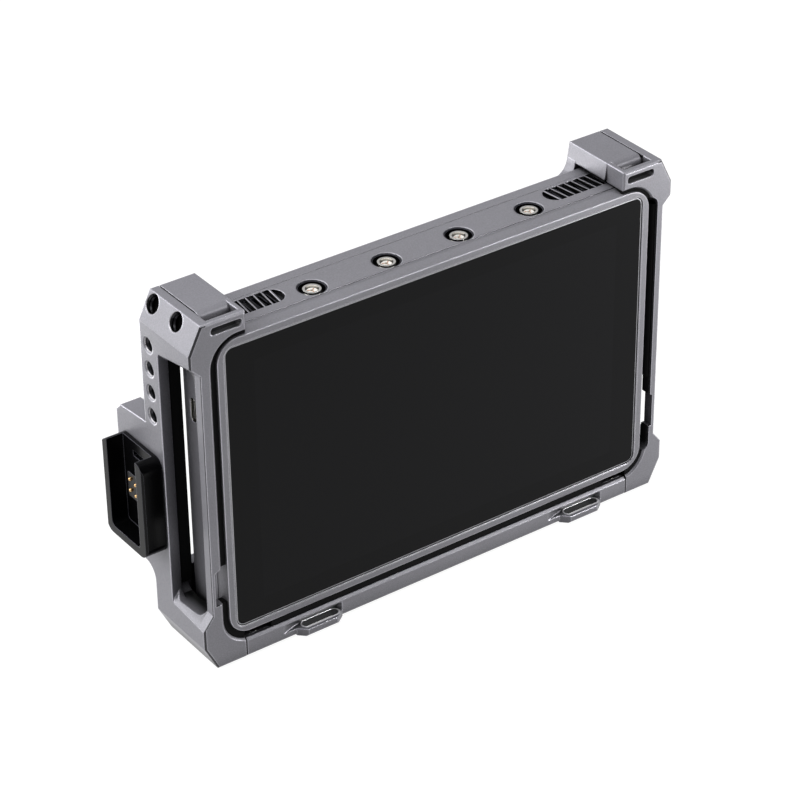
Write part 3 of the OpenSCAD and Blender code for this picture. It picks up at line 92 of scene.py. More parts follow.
# Quarter inch threads: pitch, height of the ridges, chamfer at the mouth, and distance off the bore's wall.
# The foot of a ridge is this share of the pitch to either side.
QUARTER_INCH_PITCH = 1.27 * MM
RIDGE = 0.36 * MM
LEAD_IN = 0.16 * MM
BORE_SKIN = 0.01 * MM
RIDGE_FOOT = 0.45

# Antenna jacks: thread on the barrel, then what shows in the mouth, with heights from the barrel's end up
JACK_PITCH = 0.706 * MM
JACK_RIDGE = 0.26 * MM
JACK_R = 3.175 * MM
JACK_THREAD_L = 4.3 * MM
JACK_THREAD_TOP = -0.1 * MM
JACK_FACE = -1.18 * MM
GROOVE_R = (2.0 * MM, 2.24 * MM)
DISC_R, DISC_HOLE_R, DISC_T, DISC_CHAMFER = 1.95 * MM, 0.6 * MM, 0.5 * MM, 0.2 * MM
FINGERS = 3
FINGER_R, FINGER_UP = 1.55 * MM, 0.52 * MM
FINGER_ROOT, FINGER_TIP = 0.30, 0.14

# Bright chamfers along the edge of the cover glass and of the bezel's opening, lightened as painted
# highlights
GLASS_R = 3.05 * MM
GLASS_CHAMFER = 0.32 * MM
GLASS_SKIN = 0.02 * MM
LIP_W = 0.50 * MM
LIP_DROP = 0.22 * MM
LIP_R = 3.45 * MM
LIP_SKIN = 0.015 * MM

# Seams round the housing, seen on its top: painted shade of the step at the bezel's rear edge, and a dark
# seam line at the rear cover's front edge; each has its place, the distance at which it has faded and its
# share of black
BEZEL_SEAM_SHADE = (-9.75 * MM, 1.5 * MM, 0.30)
COVER_SEAM = (4.85 * MM, 0.32 * MM, 0.75)

# Slots of the strap loops: middles, rear edge from the bar's front, and their rim from the outside in.
# Each line has half its length and width, its distance from the rear edge and its height in millimetres.
STRAP_SLOTS = (("left_strap_rim", -52.8 * MM), ("right_strap_rim", 62.5 * MM))
STRAP_SLOT_REAR = 5.5
STRAP_RIM = (
    (7.95, 2.12, 0.0, 2.93),
    (7.75, 2.0, 0.05, 3.03),
    (7.50, 1.80, 0.1, 3.0),
    (7.35, 1.65, 0.25, 2.85),
    (7.25, 1.55, 0.3, 0.1),
)

# Data port's bright mouth: steps inwards and into the port, in millimetres
PORT_MOUTH = ((0.10, -0.02), (0.34, -0.02), (0.42, 0.5))

# What the round ends of the strap slots and of the port lack to half a circle, in millimetres
END_FLAT = 0.05

# Right rubber strip: how far its lip turns in, its chamfer, where it starts, its gap at the top, how far it
# sinks into the strip, and how far it stays behind the strip's front
PAD_LIP_W, PAD_LIP_CUT = 0.95 * MM, 0.25 * MM
PAD_LIP_FOOT, PAD_LIP_GAP = 47 * MM, 0.3 * MM
PAD_LIP_SINK, PAD_LIP_BACK = 0.02 * MM, 0.05 * MM

# Side slots: where their walls start, where the painted shade in them is full, and how far they reach
SLOT_OUT, SLOT_DARK = 99.3 * MM, 93.5 * MM
SLOT_FOOT, SLOT_HEAD = 15.0 * MM, 120.0 * MM
SLOT_FRONT, SLOT_REAR = -11.3 * MM, 5.0 * MM

# Anodised aluminium: width and strength of worn edges with a painted highlight, reach and strength of
# painted shade in hollows, clouds, speckle and grain, and where a bend counts as an edge and a place as
# shut in
EDGE_W, EDGE_SHARE, EDGE_TINT = 0.7 * MM, 0.8, 3.0
HOLLOW_REACH, HOLLOW_SHARE, HOLLOW_TINT = 11 * MM, 0.92, 0.06
CLOUD_SCALE, CLOUD_DIM, CLOUD_BRIGHT = 22.0, 0.93, 1.05
SPECKLE_SCALE, SPECKLE_SHARE, SPECKLE_TINT = 2100.0, 0.50, 1.45
ANODISED_GRAIN = 5200.0
SHARP, BLUNT = 0.90, 0.998
SHUT, OPEN = 0.30, 0.66

# Ranges of noise that are stretched to the whole range: in soft clouds, and in speckle and fine lines
SOFT, CLEAR = (0.35, 0.65), (0.30, 0.70)

# Darkest tones, for painted shade, a painted dark reflection and dark seam lines
VENT_SHADE_BLACK = (0.002, 0.002, 0.002)
GAP_AND_SHADE_BLACK = (0.004, 0.004, 0.004)
SEAM_AND_SHADE_BLACK = (0.010, 0.010, 0.010)
REFLECTION_LINE_BLACK = (0.010, 0.010, 0.011)

# Painted shade, a painted dark reflection and dark seam lines on the right side of the cage, mirrored on
# the left: low and high corner in millimetres, share of the dark tone, and the tone
CAGE_SHADE_REFLECTION_AND_SEAMS = (
    # Painted shade in the strap slot through the hook's front plate
    ((79.5, -14.6, 129.0), (91.6, -8.4, 131.6), 0.85, SEAM_AND_SHADE_BLACK),
    # Seams where the frame meets the bottom bar and the rear bridge
    ((83.02, -15.3, -0.1), (83.58, 15.3, 26.6), 0.95, GAP_AND_SHADE_BLACK),
    ((91.20, -8.7, 133.9), (91.70, 15.3, 135.0), 0.95, GAP_AND_SHADE_BLACK),
    # Painted dark reflection on a strip of the frame's outer side along its front edge
    ((93.0, -15.14, 1.0), (100.0, -14.55, 134.5), 0.88, REFLECTION_LINE_BLACK),
)


# Material helpers

def scaled(numbers, factor):
    """Tone or place with each of its numbers times a factor."""
    return tuple(factor * c for c in numbers)


class Shader:
    """Principled material with its node tree at hand."""

    def __init__(self, name, roughness=0.5, metallic=0.0, ior=1.5, specular=0.5):
        self.material = bpy.data.materials.new(name)
        self.material.use_nodes = True
        self.tree = self.material.node_tree
        self.bsdf = self.tree.nodes["Principled BSDF"]
        self.bsdf.inputs["Roughness"].default_value = roughness
        self.bsdf.inputs["Metallic"].default_value = metallic
        self.bsdf.inputs["IOR"].default_value = ior
        self.bsdf.inputs["Specular IOR Level"].default_value = specular
        self.coordinates = self.add("ShaderNodeTexCoord").outputs["Object"]
        split = self.add("ShaderNodeSeparateXYZ")
        self.link(self.coordinates, split.inputs["Vector"])
        self.place = split.outputs

    def add(self, kind, **settings):
        node = self.tree.nodes.new(kind)
        for key, value in settings.items():
            setattr(node, key, value)
        return node

    def link(self, output, target):
        self.tree.links.new(output, target)

    def noise(self, scale, detail, stretch=None):
        """Noise in object space, on coordinates that may be stretched."""
        node = self.add("ShaderNodeTexNoise")
        node.inputs["Scale"].default_value = scale
        node.inputs["Detail"].default_value = detail
        if stretch:
            mapping = self.add("ShaderNodeMapping")
            mapping.inputs["Scale"].default_value = stretch
            self.link(self.coordinates, mapping.inputs["Vector"])
            self.link(mapping.outputs["Vector"], node.inputs["Vector"])
        else:
            self.link(self.coordinates, node.inputs["Vector"])
        return node.outputs["Fac"]

    def math(self, operation, a, b=0.0):
        """Result of one operation on numbers or sockets."""
        node = self.add("ShaderNodeMath", operation=operation)
        for socket, value in zip(node.inputs, (a, b)):
            if isinstance(value, (int, float)):
                socket.default_value = value
            else:
                self.link(value, socket)
        return node.outputs[0]

    def blend(self, factor, low, high):
        """Colour between two colours or colour sockets."""
        node = self.add("ShaderNodeMix", data_type="RGBA")
        for socket, value in ((node.inputs[0], factor), (node.inputs[6], low), (node.inputs[7], high)):
            if isinstance(value, (int, float)):
                socket.default_value = value
            elif isinstance(value, tuple):
                socket.default_value = (*value, 1.0)
            else:
                self.link(value, socket)
        return node.outputs[2]

    def span(self, value, low, high, to_low=0.0, to_high=1.0):
        """Value brought from one range to another."""
        node = self.add("ShaderNodeMapRange")
        for key, number in (("From Min", low), ("From Max", high), ("To Min", to_low), ("To Max", to_high)):
            node.inputs[key].default_value = number
        self.link(value, node.inputs["Value"])
        return node.outputs["Result"]

    def uneven(self, noise, swing, middle):
        """Value that a noise moves round a middle, by half the swing to either side."""
        return self.math("ADD", self.math("MULTIPLY", noise, swing), middle - swing / 2)

    def darken(self, color, mask, share, tone):
        """Colour that goes towards a dark tone by a share of a mask."""
        return self.blend(self.math("MULTIPLY", mask, share), color, tone)

    def inside(self, low, high):
        """Is 1 between two corners, on the right side and mirrored on the left."""
        across = self.math("ABSOLUTE", self.place["X"])
        total = 1.0
        for value, start, end in zip((across, self.place["Y"], self.place["Z"]), low, high):
            total = self.math("MULTIPLY", self.math("GREATER_THAN", value, start), total)
            total = self.math("MULTIPLY", self.math("LESS_THAN", value, end), total)
        return total

    def band(self, axis, centre, half):
        """Is 1 at a place along an axis and fades to 0 at a distance from it."""
        away = self.math("ABSOLUTE", self.math("SUBTRACT", self.place[axis], centre))
        return self.span(away, half, 0.0)

    def rib_sides(self):
        """Is 1 on the sides of the vents' ribs and 0 along the middle of their tops: where painted shade
        darkens the ribs' sides.
        """
        off_middle = self.math("SUBTRACT", self.place["Y"], (VENT_FRONT + VENT_REAR) / 2)
        from_end = self.math("SUBTRACT", self.math("ABSOLUTE", self.place["X"]), VENT_IN)
        along = self.math("ADD", from_end, self.math("MULTIPLY", off_middle, RIB_LEAN))
        away = self.math("PINGPONG", along, RIB_PITCH / 2)
        low = (VENT_IN + VENT_R, VENT_FRONT, VENT_TOP - VENT_DEPTH)
        high = (VENT_OUT, VENT_REAR, VENT_TOP + MM)
        return self.math("MULTIPLY", self.math("GREATER_THAN", away, RIB_HALF), self.inside(low, high))

    def slot_depth(self):
        """Is 1 deep in the side slots and 0 at their mouths and elsewhere: where painted shade darkens the
        slots.
        """
        depth = self.span(self.math("ABSOLUTE", self.place["X"]), SLOT_OUT, SLOT_DARK)
        low, high = (0.0, SLOT_FRONT, SLOT_FOOT), (SLOT_OUT, SLOT_REAR, SLOT_HEAD)
        return self.math("MULTIPLY", self.inside(low, high), depth)

    def worn_and_highlight_edges(self, radius):
        """Is 1 along sharp edges and 0 on flat faces."""
        rounded = self.add("ShaderNodeBevel", samples=6)
        rounded.inputs["Radius"].default_value = radius
        along = self.add("ShaderNodeVectorMath", operation="DOT_PRODUCT")
        self.link(rounded.outputs["Normal"], along.inputs[0])
        self.link(self.add("ShaderNodeNewGeometry").outputs["True Normal"], along.inputs[1])
        return self.span(along.outputs["Value"], BLUNT, SHARP)

    def hollow_shade(self, distance):
        """Is 1 in bores, slots and corners and 0 on open faces: where painted shade darkens the colour."""
        open_share = self.add("ShaderNodeAmbientOcclusion", samples=6)
        open_share.inputs["Distance"].default_value = distance
        return self.span(open_share.outputs["AO"], OPEN, SHUT)

    def color(self, output):
        self.link(output, self.bsdf.inputs["Base Color"])

    def roughness(self, output):
        self.link(output, self.bsdf.inputs["Roughness"])

    def surface(self, height, distance, strength, edge=None):
        """Bump from a height, over edges that are rounded by a small radius."""
        bump = self.add("ShaderNodeBump")
        bump.inputs["Strength"].default_value = strength
        bump.inputs["Distance"].default_value = distance
        self.link(height, bump.inputs["Height"])
        if edge:
            rounded = self.add("ShaderNodeBevel", samples=6)
            rounded.inputs["Radius"].default_value = edge
            self.link(rounded.outputs["Normal"], bump.inputs["Normal"])
        self.link(bump.outputs["Normal"], self.bsdf.inputs["Normal"])


def anodised(name, tone, roughness, metallic, where=None):
    """Bead-blasted and anodised aluminium: fine grain, cloudy marks, worn edges lightened as a painted
    highlight, and painted shade in hollows.
    """
    s = Shader(name, roughness, metallic, specular=0.35)
    cloud = s.span(s.noise(CLOUD_SCALE, 4.0), *SOFT)
    speckle = s.span(s.noise(SPECKLE_SCALE, 2.0), *CLEAR)
    face = s.blend(cloud, scaled(tone, CLOUD_DIM), scaled(tone, CLOUD_BRIGHT))
    face = s.blend(s.math("MULTIPLY", speckle, SPECKLE_SHARE), face, scaled(tone, SPECKLE_TINT))
    # Worn edges, lightened towards three times the tone: wear and a painted highlight
    edges = s.math("MULTIPLY", s.worn_and_highlight_edges(EDGE_W), EDGE_SHARE)
    edged = s.blend(edges, face, scaled(tone, EDGE_TINT))
    s.link(s.span(edges, 0.0, 1.0, metallic, 1.0), s.bsdf.inputs["Metallic"])
    # Painted shade: darker in bores, slots and corners
    color = s.darken(edged, s.hollow_shade(HOLLOW_REACH), HOLLOW_SHARE, scaled(tone, HOLLOW_TINT))
    if where == "housing":
        color = housing_shade_and_seams(s, color)
    if where == "cage":
        color = cage_shade_reflection_and_seams(s, color)
    s.color(color)
    fine = s.noise(ANODISED_GRAIN, 1.0)
    s.roughness(s.math("SUBTRACT", s.uneven(fine, 0.10, roughness), s.math("MULTIPLY", edges, 0.10)))
    s.surface(fine, 0.00004, 0.35, edge=EDGE_W)
    return s.material


def housing_shade_and_seams(s, color):
    """Painted shade of the step at the bezel's seam, a dark seam line at the rear cover, and painted shade
    in the top vents between and on the sides of their ribs.
    """
    (soft_y, soft_w, soft_share), (line_y, line_w, line_share) = BEZEL_SEAM_SHADE, COVER_SEAM
    # Painted shade fading from the step at the bezel's seam; the rear cover's seam is a dark line
    soft = s.math("MULTIPLY", s.band("Y", soft_y, soft_w), soft_share)
    line = s.math("GREATER_THAN", s.band("Y", line_y, line_w), 0.5)
    seams = s.math("MAXIMUM", soft, s.math("MULTIPLY", line, line_share))
    color = s.blend(seams, color, SEAM_AND_SHADE_BLACK)
    # Painted shade in the vents below the ribs' tops and on the ribs' sides
    low, high = (VENT_IN, VENT_FRONT, VENT_TOP - VENT_DEPTH), (VENT_OUT, VENT_REAR, VENT_TOP - VENT_EDGE)
    return s.blend(s.math("MAXIMUM", s.inside(low, high), s.rib_sides()), color, VENT_SHADE_BLACK)


def cage_shade_reflection_and_seams(s, color):
    """Painted shade deep in the side slots, then the dark places listed for the cage: painted shade, a
    painted dark reflection and dark seam lines.
    """
    # Painted shade deep in the side slots
    color = s.blend(s.slot_depth(), color, GAP_AND_SHADE_BLACK)
    for low, high, share, tone in CAGE_SHADE_REFLECTION_AND_SEAMS:
        color = s.darken(color, s.inside(scaled(low, MM), scaled(high, MM)), share, tone)
    return color


def moulded(name, tone, roughness, grain=3800.0, depth=0.00003, edge=0.0003, specular=0.5, rim=1.25):
    """Fine-grained moulded plastic or rubber, lighter by a factor along its edges as a painted highlight.
    """
    s = Shader(name, roughness, specular=specular)
    speckle = s.noise(grain, 2.0)
    cloud = s.noise(35.0, 3.0)
    face = s.blend(s.span(cloud, *SOFT), scaled(tone, 0.8), scaled(tone, 1.25))
    # Painted highlight: lighter by the factor rim along the edges
    s.color(s.blend(s.worn_and_highlight_edges(edge), face, scaled(tone, rim)))
    s.roughness(s.uneven(speckle, 0.14, roughness))
    s.surface(speckle, depth, 0.5, edge=edge)
    return s.material


def plated(name, tone, roughness, metallic=1.0):
    """Plated or machined small metal parts, with fine turning marks."""
    s = Shader(name, roughness, metallic)
    lines = s.noise(1500.0, 2.0, stretch=(1.0, 1.0, 6.0))
    s.color(s.blend(s.span(lines, *CLEAR), scaled(tone, 0.85), tone))
    s.roughness(s.uneven(lines, 0.12, roughness))
    s.surface(lines, 0.00001, 0.4, edge=0.00012)
    return s.material


def screen_glass():
    """Black printed glass; the picture area shows as a very faint lighter field."""
    s = Shader("screen_glass", 0.08, ior=1.45, specular=0.10)
    low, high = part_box("lcd_panel")
    border = 2.5 * MM
    across = s.math("ABSOLUTE", s.place["X"])
    up = s.math("ABSOLUTE", s.math("SUBTRACT", s.place["Z"], (low.z + high.z) / 2))
    inside_x = s.math("LESS_THAN", across, high.x - border)
    inside_z = s.math("LESS_THAN", up, (high.z - low.z) / 2 - border)
    picture = s.math("MULTIPLY", inside_x, inside_z)
    smear = s.noise(9.0, 4.0)
    tint = s.blend(picture, (0.0045, 0.0045, 0.0050), (0.0062, 0.0062, 0.0070))
    s.color(s.blend(s.math("MULTIPLY", smear, 0.25), tint, (0.0075, 0.0075, 0.0085)))
    s.roughness(s.span(smear, *CLEAR, 0.06, 0.12))
    s.surface(s.noise(14.0, 1.0), 0.00002, 0.05, edge=0.0003)
    return s.material


def circuit_board():
    """Green solder mask over traces, with gold pads."""
    s = Shader("green_board", 0.38)
    traces = s.noise(260.0, 1.0, stretch=(1.0, 1.0, 0.35))
    pads = s.math("GREATER_THAN", s.noise(520.0, 0.0), 0.64)
    mask = s.blend(s.math("GREATER_THAN", traces, 0.52), (0.012, 0.085, 0.045), (0.02, 0.13, 0.07))
    s.color(s.blend(pads, mask, (0.45, 0.36, 0.16)))
    s.surface(traces, 0.00003, 0.5)
    return s.material


MATERIALS = {
    "cage_aluminium": anodised("cage_aluminium", (0.216, 0.213, 0.234), 0.36, 0.30, where="cage"),
    "housing_aluminium": anodised("housing_aluminium", (0.213, 0.210, 0.229), 0.38, 0.30, where="housing"),
    "button_aluminium": anodised("button_aluminium", (0.33, 0.325, 0.35), 0.36, 0.45),
    "heat_sink_aluminium": anodised("heat_sink_aluminium", (0.55, 0.55, 0.56), 0.35, 1.0),
    "black_rubber": moulded("black_rubber", (0.0035, 0.0035, 0.0038), 0.78, 2600.0, 0.00005, specular=0.12),
    # Its edges are painted grey, 42 times its tone, as a highlight
    "black_plastic": moulded("black_plastic", (0.0020, 0.0020, 0.0024), 0.20, depth=0.00001,
                             edge=0.0004, specular=0.12, rim=42.0),
    "gold_plating": plated("gold_plating", (0.66, 0.43, 0.20), 0.24),
    "bright_steel": plated("bright_steel", (0.78, 0.76, 0.72), 0.20),
    "black_steel": plated("black_steel", (0.035, 0.035, 0.038), 0.34, 0.9),
    "screen_glass": screen_glass(),
    "panel_black": moulded("panel_black", (0.012, 0.012, 0.014), 0.25),
    "backlight_white": moulded("backlight_white", (0.72, 0.72, 0.73), 0.5),
    "white_insulator": moulded("white_insulator", (0.80, 0.78, 0.73), 0.4, 2000.0, 0.00001, 0.0001),
    "green_board": circuit_board(),
    # Near-black thread ridges in the bores: painted shade
    "thread_steel": plated("thread_steel", (0.05, 0.05, 0.055), 0.30),
    # Near-white chamfer of the bezel's opening: a painted highlight
    "machined_edge": plated("machined_edge", (0.93, 0.92, 0.94), 0.28, 0.15),
    # Near-white rims of the strap slots: a painted highlight
    "rim_edge": plated("rim_edge", (0.86, 0.85, 0.88), 0.24, 0.4),
    # Darker inner walls of the strap slots: painted shade
    "dark_wall": anodised("dark_wall", (0.120, 0.119, 0.128), 0.45, 0.3),
    "lead_in_edge": plated("lead_in_edge", (0.55, 0.54, 0.56), 0.28, 0.7),
    "peach_gold": plated("peach_gold", (0.62, 0.27, 0.12), 0.30, 0.4),
    # Near-black lining of the bores and ring in the jacks' mouths: painted shade
    "bore_black": moulded("bore_black", (0.0025, 0.0025, 0.0025), 0.6, specular=0.05),
    # Grey, partly metallic chamfer of the cover glass: a painted highlight
    "glass_edge": plated("glass_edge", (0.42, 0.42, 0.44), 0.30, 0.6),
    "bronze": plated("bronze", (0.50, 0.33, 0.15), 0.4),
}


def dress_cad_nodes():
    """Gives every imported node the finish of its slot."""
    for row in frame["record"]["subparts"]:
        node = nodes[row["node"]]
        node.data.materials.clear()
        node.data.materials.append(MATERIALS[row["material_slot"]])


# Detail pieces

def add_piece(name, vertices, faces, finish, slot):
    """Mesh that rides with the cage and has a finish from MATERIALS; the slot argument is not used."""
    mesh = bpy.data.meshes.new(name)
    mesh.from_pydata([tuple(v) for v in vertices], [], faces)
    mesh.materials.append(MATERIALS[finish])
    piece = bpy.data.objects.new(name, mesh)
    bpy.context.scene.collection.objects.link(piece)
    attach(piece, ROOT)


def along_axis(place, axis):
    """Place of a point given by radius, angle and height round an axis."""
    turn = Vector(axis).to_track_quat("Z", "Y").to_matrix()
    centre = Vector(place)
    return lambda r, angle, h: centre + turn @ Vector((r * math.cos(angle), r * math.sin(angle), h))


def lathe(profile, place, axis, sides=40):
    """Vertices and faces that a profile of radii and heights sweeps round an axis."""
    at = along_axis(place, axis)
    vertices = [at(r, 2 * math.pi * i / sides, h) for i in range(sides) for r, h in profile]
    n = len(profile)
    faces = []
    for i in range(sides):
        j = (i + 1) % sides
        faces += [(i * n + k, j * n + k, j * n + k + 1, i * n + k + 1) for k in range(n - 1)]
    return vertices, faces


def helix(radius, ridge, pitch, low, high, place, axis, sides=20):
    """Vertices and faces of a thread's ridge, which stands out, or in where its height is negative."""
    at = along_axis(place, axis)
    foot = RIDGE_FOOT * pitch
    steps = int((high - low - pitch) / pitch * sides)
    vertices = []
    for i in range(steps + 1):
        angle = 2 * math.pi * i / sides
        h = low + pitch / 2 + pitch * i / sides
        fade = min(1.0, i / sides * 2, (steps - i) / sides * 2)
        vertices += [at(radius, angle, h - foot), at(radius + ridge * fade, angle, h),
                     at(radius, angle, h + foot)]
    faces = [(3 * i + k, 3 * i + 3 + k, 3 * i + 4 + k, 3 * i + 1 + k) for i in range(steps) for k in (0, 1)]
    return vertices, faces


def dress_bores():
    """Near-black ridges and lining as painted shade, and bright mouths, in the threaded bores and the
    corner sockets.
    """
    for mount in frame["record"]["mounts"]:
        if mount["kind"] not in ("threaded_hole", "bore"):
            continue
        name, axis = mount["name"], Vector(mount["axis"])
        r, half = mount["dims"]["r_mm"] * MM, mount["dims"]["length_mm"] / 2 * MM
        middle = Vector(mount["pos_m"])
        # The record places the underside's threads by their mouths and the others by their middles
        if mount["kind"] == "threaded_hole" and axis.z < -0.5:
            middle = middle - axis * half
        wall, throat = r - BORE_SKIN, r - LEAD_IN
        mouth = [(wall, half - BORE_SKIN), (throat, half - LEAD_IN), (throat, half - 2 * LEAD_IN)]
        add_piece(name + "_chamfer", *lathe(mouth, middle, axis), "lead_in_edge", "cage_aluminium")
        # Painted shade: a near-black lining on the bore's wall and floor, and near-black thread ridges
        inside = [(wall, half - RIDGE), (wall, BORE_SKIN - half), (0, BORE_SKIN - half)]
        add_piece(name + "_shade_lining", *lathe(inside, middle, axis), "bore_black", "black_steel")
        ridges = helix(wall, -RIDGE, QUARTER_INCH_PITCH, -half, half - BORE_SKIN, middle, axis)
        add_piece(name + "_ridges", *ridges, "thread_steel", "black_steel")


def dress_jacks():
    """Threads on the antenna jacks' barrels, and what shows in their mouths."""
    for mount in frame["record"]["mounts"]:
        if not mount["name"].startswith("antenna_jack"):
            continue
        name, place, up = mount["name"], mount["pos_m"], (0, 0, 1)
        threads = helix(JACK_R, JACK_RIDGE, JACK_PITCH, -JACK_THREAD_L, JACK_THREAD_TOP, place, up)
        add_piece(name + "_thread", *threads, "bright_steel", "bright_steel")
        # Painted shade: a near-black ring in the gap between the barrel and the white disc
        groove = lathe([(r, JACK_FACE) for r in GROOVE_R], place, up)
        add_piece(name + "_groove", *groove, "bore_black", "black_plastic")
        top = JACK_FACE + DISC_T
        profile = [(DISC_HOLE_R, JACK_FACE), (DISC_HOLE_R, top), (DISC_R - DISC_CHAMFER, top),
                   (DISC_R, top - DISC_CHAMFER), (DISC_R, JACK_FACE)]
        disc = lathe(profile, place, up)
        add_piece(name + "_disc", *disc, "white_insulator", "white_insulator")
        at = along_axis(place, up)
        height = JACK_FACE + FINGER_UP
        for i in range(FINGERS):
            turn = 2 * math.pi * (i / FINGERS + 0.25)
            wedge = [at(DISC_HOLE_R, turn - FINGER_ROOT, height), at(FINGER_R, turn - FINGER_TIP, height),
                     at(FINGER_R, turn + FINGER_TIP, height), at(DISC_HOLE_R, turn + FINGER_ROOT, height)]
            add_piece("%s_finger_%d" % (name, i + 1), wedge, [(0, 1, 2, 3)], "peach_gold", "gold_plating")


def rounded_loop(half_w, half_h, r, y, middle_z, steps=8):
    """Points of a rounded rectangle, seen from the front."""
    points = []
    for quarter, (sx, sz) in enumerate(((1, 1), (-1, 1), (-1, -1), (1, -1))):
        for i in range(steps + 1):
            angle = math.pi / 2 * (quarter + i / steps)
            x = sx * (half_w - r) + r * math.cos(angle)
            z = sz * (half_h - r) + r * math.sin(angle)
            points.append((x, y, middle_z + z))
    return points


def bridge_loops(loops):
    """Faces between loops of the same number of points."""
    n = len(loops[0])
    faces = []
    for k in range(len(loops) - 1):
        a, b = k * n, (k + 1) * n
        faces += [(a + i, a + (i + 1) % n, b + (i + 1) % n, b + i) for i in range(n)]
    return [p for loop in loops for p in loop], faces


def front_of(node):
    """Half the width, half the height, middle height and front face of a node, seen from the front."""
    low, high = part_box(node)
    return (high.x - low.x) / 2, (high.z - low.z) / 2, (high.z + low.z) / 2, low.y


def add_glass_edge():
    """Chamfer along the edge of the cover glass, grey and partly metallic as a painted highlight."""
    half_w, half_h, middle, front = front_of("cover_glass")
    cut = GLASS_CHAMFER
    outer = rounded_loop(half_w - GLASS_SKIN, half_h - GLASS_SKIN, GLASS_R, front, middle)
    inner = rounded_loop(half_w - cut, half_h - cut, GLASS_R - cut, front - GLASS_SKIN, middle)
    add_piece("glass_edge", *bridge_loops([outer, inner]), "glass_edge", "screen_glass")


def add_bezel_lip():
    """Chamfer along the opening of the bezel, near-white as a painted highlight."""
    half_w, half_h, middle, _ = front_of("glass_gasket")
    front = front_of("front_bezel")[3]
    inner = rounded_loop(half_w - LIP_SKIN, half_h - LIP_SKIN, LIP_R, front + LIP_DROP, middle)
    outer = rounded_loop(half_w + LIP_W, half_h + LIP_W, LIP_R + LIP_W, front - LIP_SKIN, middle)
    add_piece("bezel_lip", *bridge_loops([outer, inner]), "machined_edge", "housing_aluminium")


def add_port_edge():
    """Bright mouth of the data port's metal shell."""
    low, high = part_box("usb_c_port")
    middle_y, middle_z = (low.y + high.y) / 2, (low.z + high.z) / 2
    loops = []
    for inset, drop in PORT_MOUTH:
        half_y, half_z = (high.y - low.y) / 2 - inset * MM, (high.z - low.z) / 2 - inset * MM
        flat = rounded_loop(half_y, half_z, half_y - END_FLAT * MM, 0, middle_z)
        loops.append([(low.x + drop * MM, middle_y + across, z) for across, y, z in flat])
    add_piece("port_edge", *bridge_loops(loops), "bright_steel", "bright_steel")


def add_strap_rims():
    """Rounded rim, near-white as a painted highlight, and inner wall, darker as painted shade, of the slots
    in the strap loops.
    """
    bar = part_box("bottom_bar")[0]
    for name, middle_x in STRAP_SLOTS:
        loops = []
        for half_x, half_y, back, z in STRAP_RIM:
            flat = rounded_loop(half_x * MM, half_y * MM, (half_y - END_FLAT) * MM, 0, 0)
            centre = bar.y + (STRAP_SLOT_REAR - back - half_y) * MM
            loops.append([(middle_x + x, centre + along, bar.z + z * MM) for x, y, along in flat])
        add_piece(name, *bridge_loops(loops[:-1]), "rim_edge", "cage_aluminium")
        add_piece(name + "_wall", *bridge_loops(loops[-2:]), "dark_wall", "cage_aluminium")


def add_right_pad_lip():
    """Edge of the right rubber strip that turns in towards the housing."""
    low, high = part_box("right_side_pad")
    x0, x1 = low.x - PAD_LIP_W, low.x + PAD_LIP_SINK
    y0, y1 = low.y + PAD_LIP_BACK, high.y - PAD_LIP_SINK
    cut = PAD_LIP_CUT
    section = [(x1, y0), (x1, y1), (x0 + cut, y1), (x0, y1 - cut), (x0, y0 + 3 * cut), (x0 + 2 * cut, y0)]
    loops = [[(x, y, z) for x, y in section] for z in (PAD_LIP_FOOT, high.z - PAD_LIP_GAP)]
    vertices, faces = bridge_loops(loops)
    n = len(section)
    faces += [tuple(range(n)), tuple(reversed(range(n, 2 * n)))]
    add_piece("right_pad_lip", vertices, faces, "black_rubber", "black_rubber")


def add_camera():
    """Camera at the photograph's place and angle."""
    yaw, pitch, roll = CAMERA_YAW, CAMERA_PITCH, CAMERA_ROLL
    back = Vector((math.sin(yaw) * math.cos(pitch), -math.cos(yaw) * math.cos(pitch), math.sin(pitch)))
    right = (-back).cross(Vector((0, 0, 1))).normalized()
    up = right.cross(-back)
    turned_right = right * math.cos(roll) + up * math.sin(roll)
    turned_up = up * math.cos(roll) - right * math.sin(roll)
    data = bpy.data.cameras.new("camera")
    data.lens = LENS
    data.sensor_width = SENSOR_WIDTH
    data.sensor_fit = "HORIZONTAL"
    data.clip_end = CLIP_END
    camera = bpy.data.objects.new("camera", data)
    camera.matrix_world = Matrix((
        (turned_right.x, turned_up.x, back.x, CAMERA_PLACE.x),
        (turned_right.y, turned_up.y, back.y, CAMERA_PLACE.y),
        (turned_right.z, turned_up.z, back.z, CAMERA_PLACE.z),
        (0, 0, 0, 1),
    ))
    bpy.context.scene.collection.objects.link(camera)
    bpy.context.scene.camera = camera


def background_rays(tree):
    """Is 1 for rays from the camera, a mirror or glass."""
    path = tree.nodes.new("ShaderNodeLightPath")
    total = path.outputs["Is Camera Ray"]
    for name in ("Is Glossy Ray", "Is Transmission Ray"):
        node = tree.nodes.new("ShaderNodeMath")
        node.operation = "MAXIMUM"
        tree.links.new(total, node.inputs[0])
        tree.links.new(path.outputs[name], node.inputs[1])
        total = node.outputs[0]
    return total


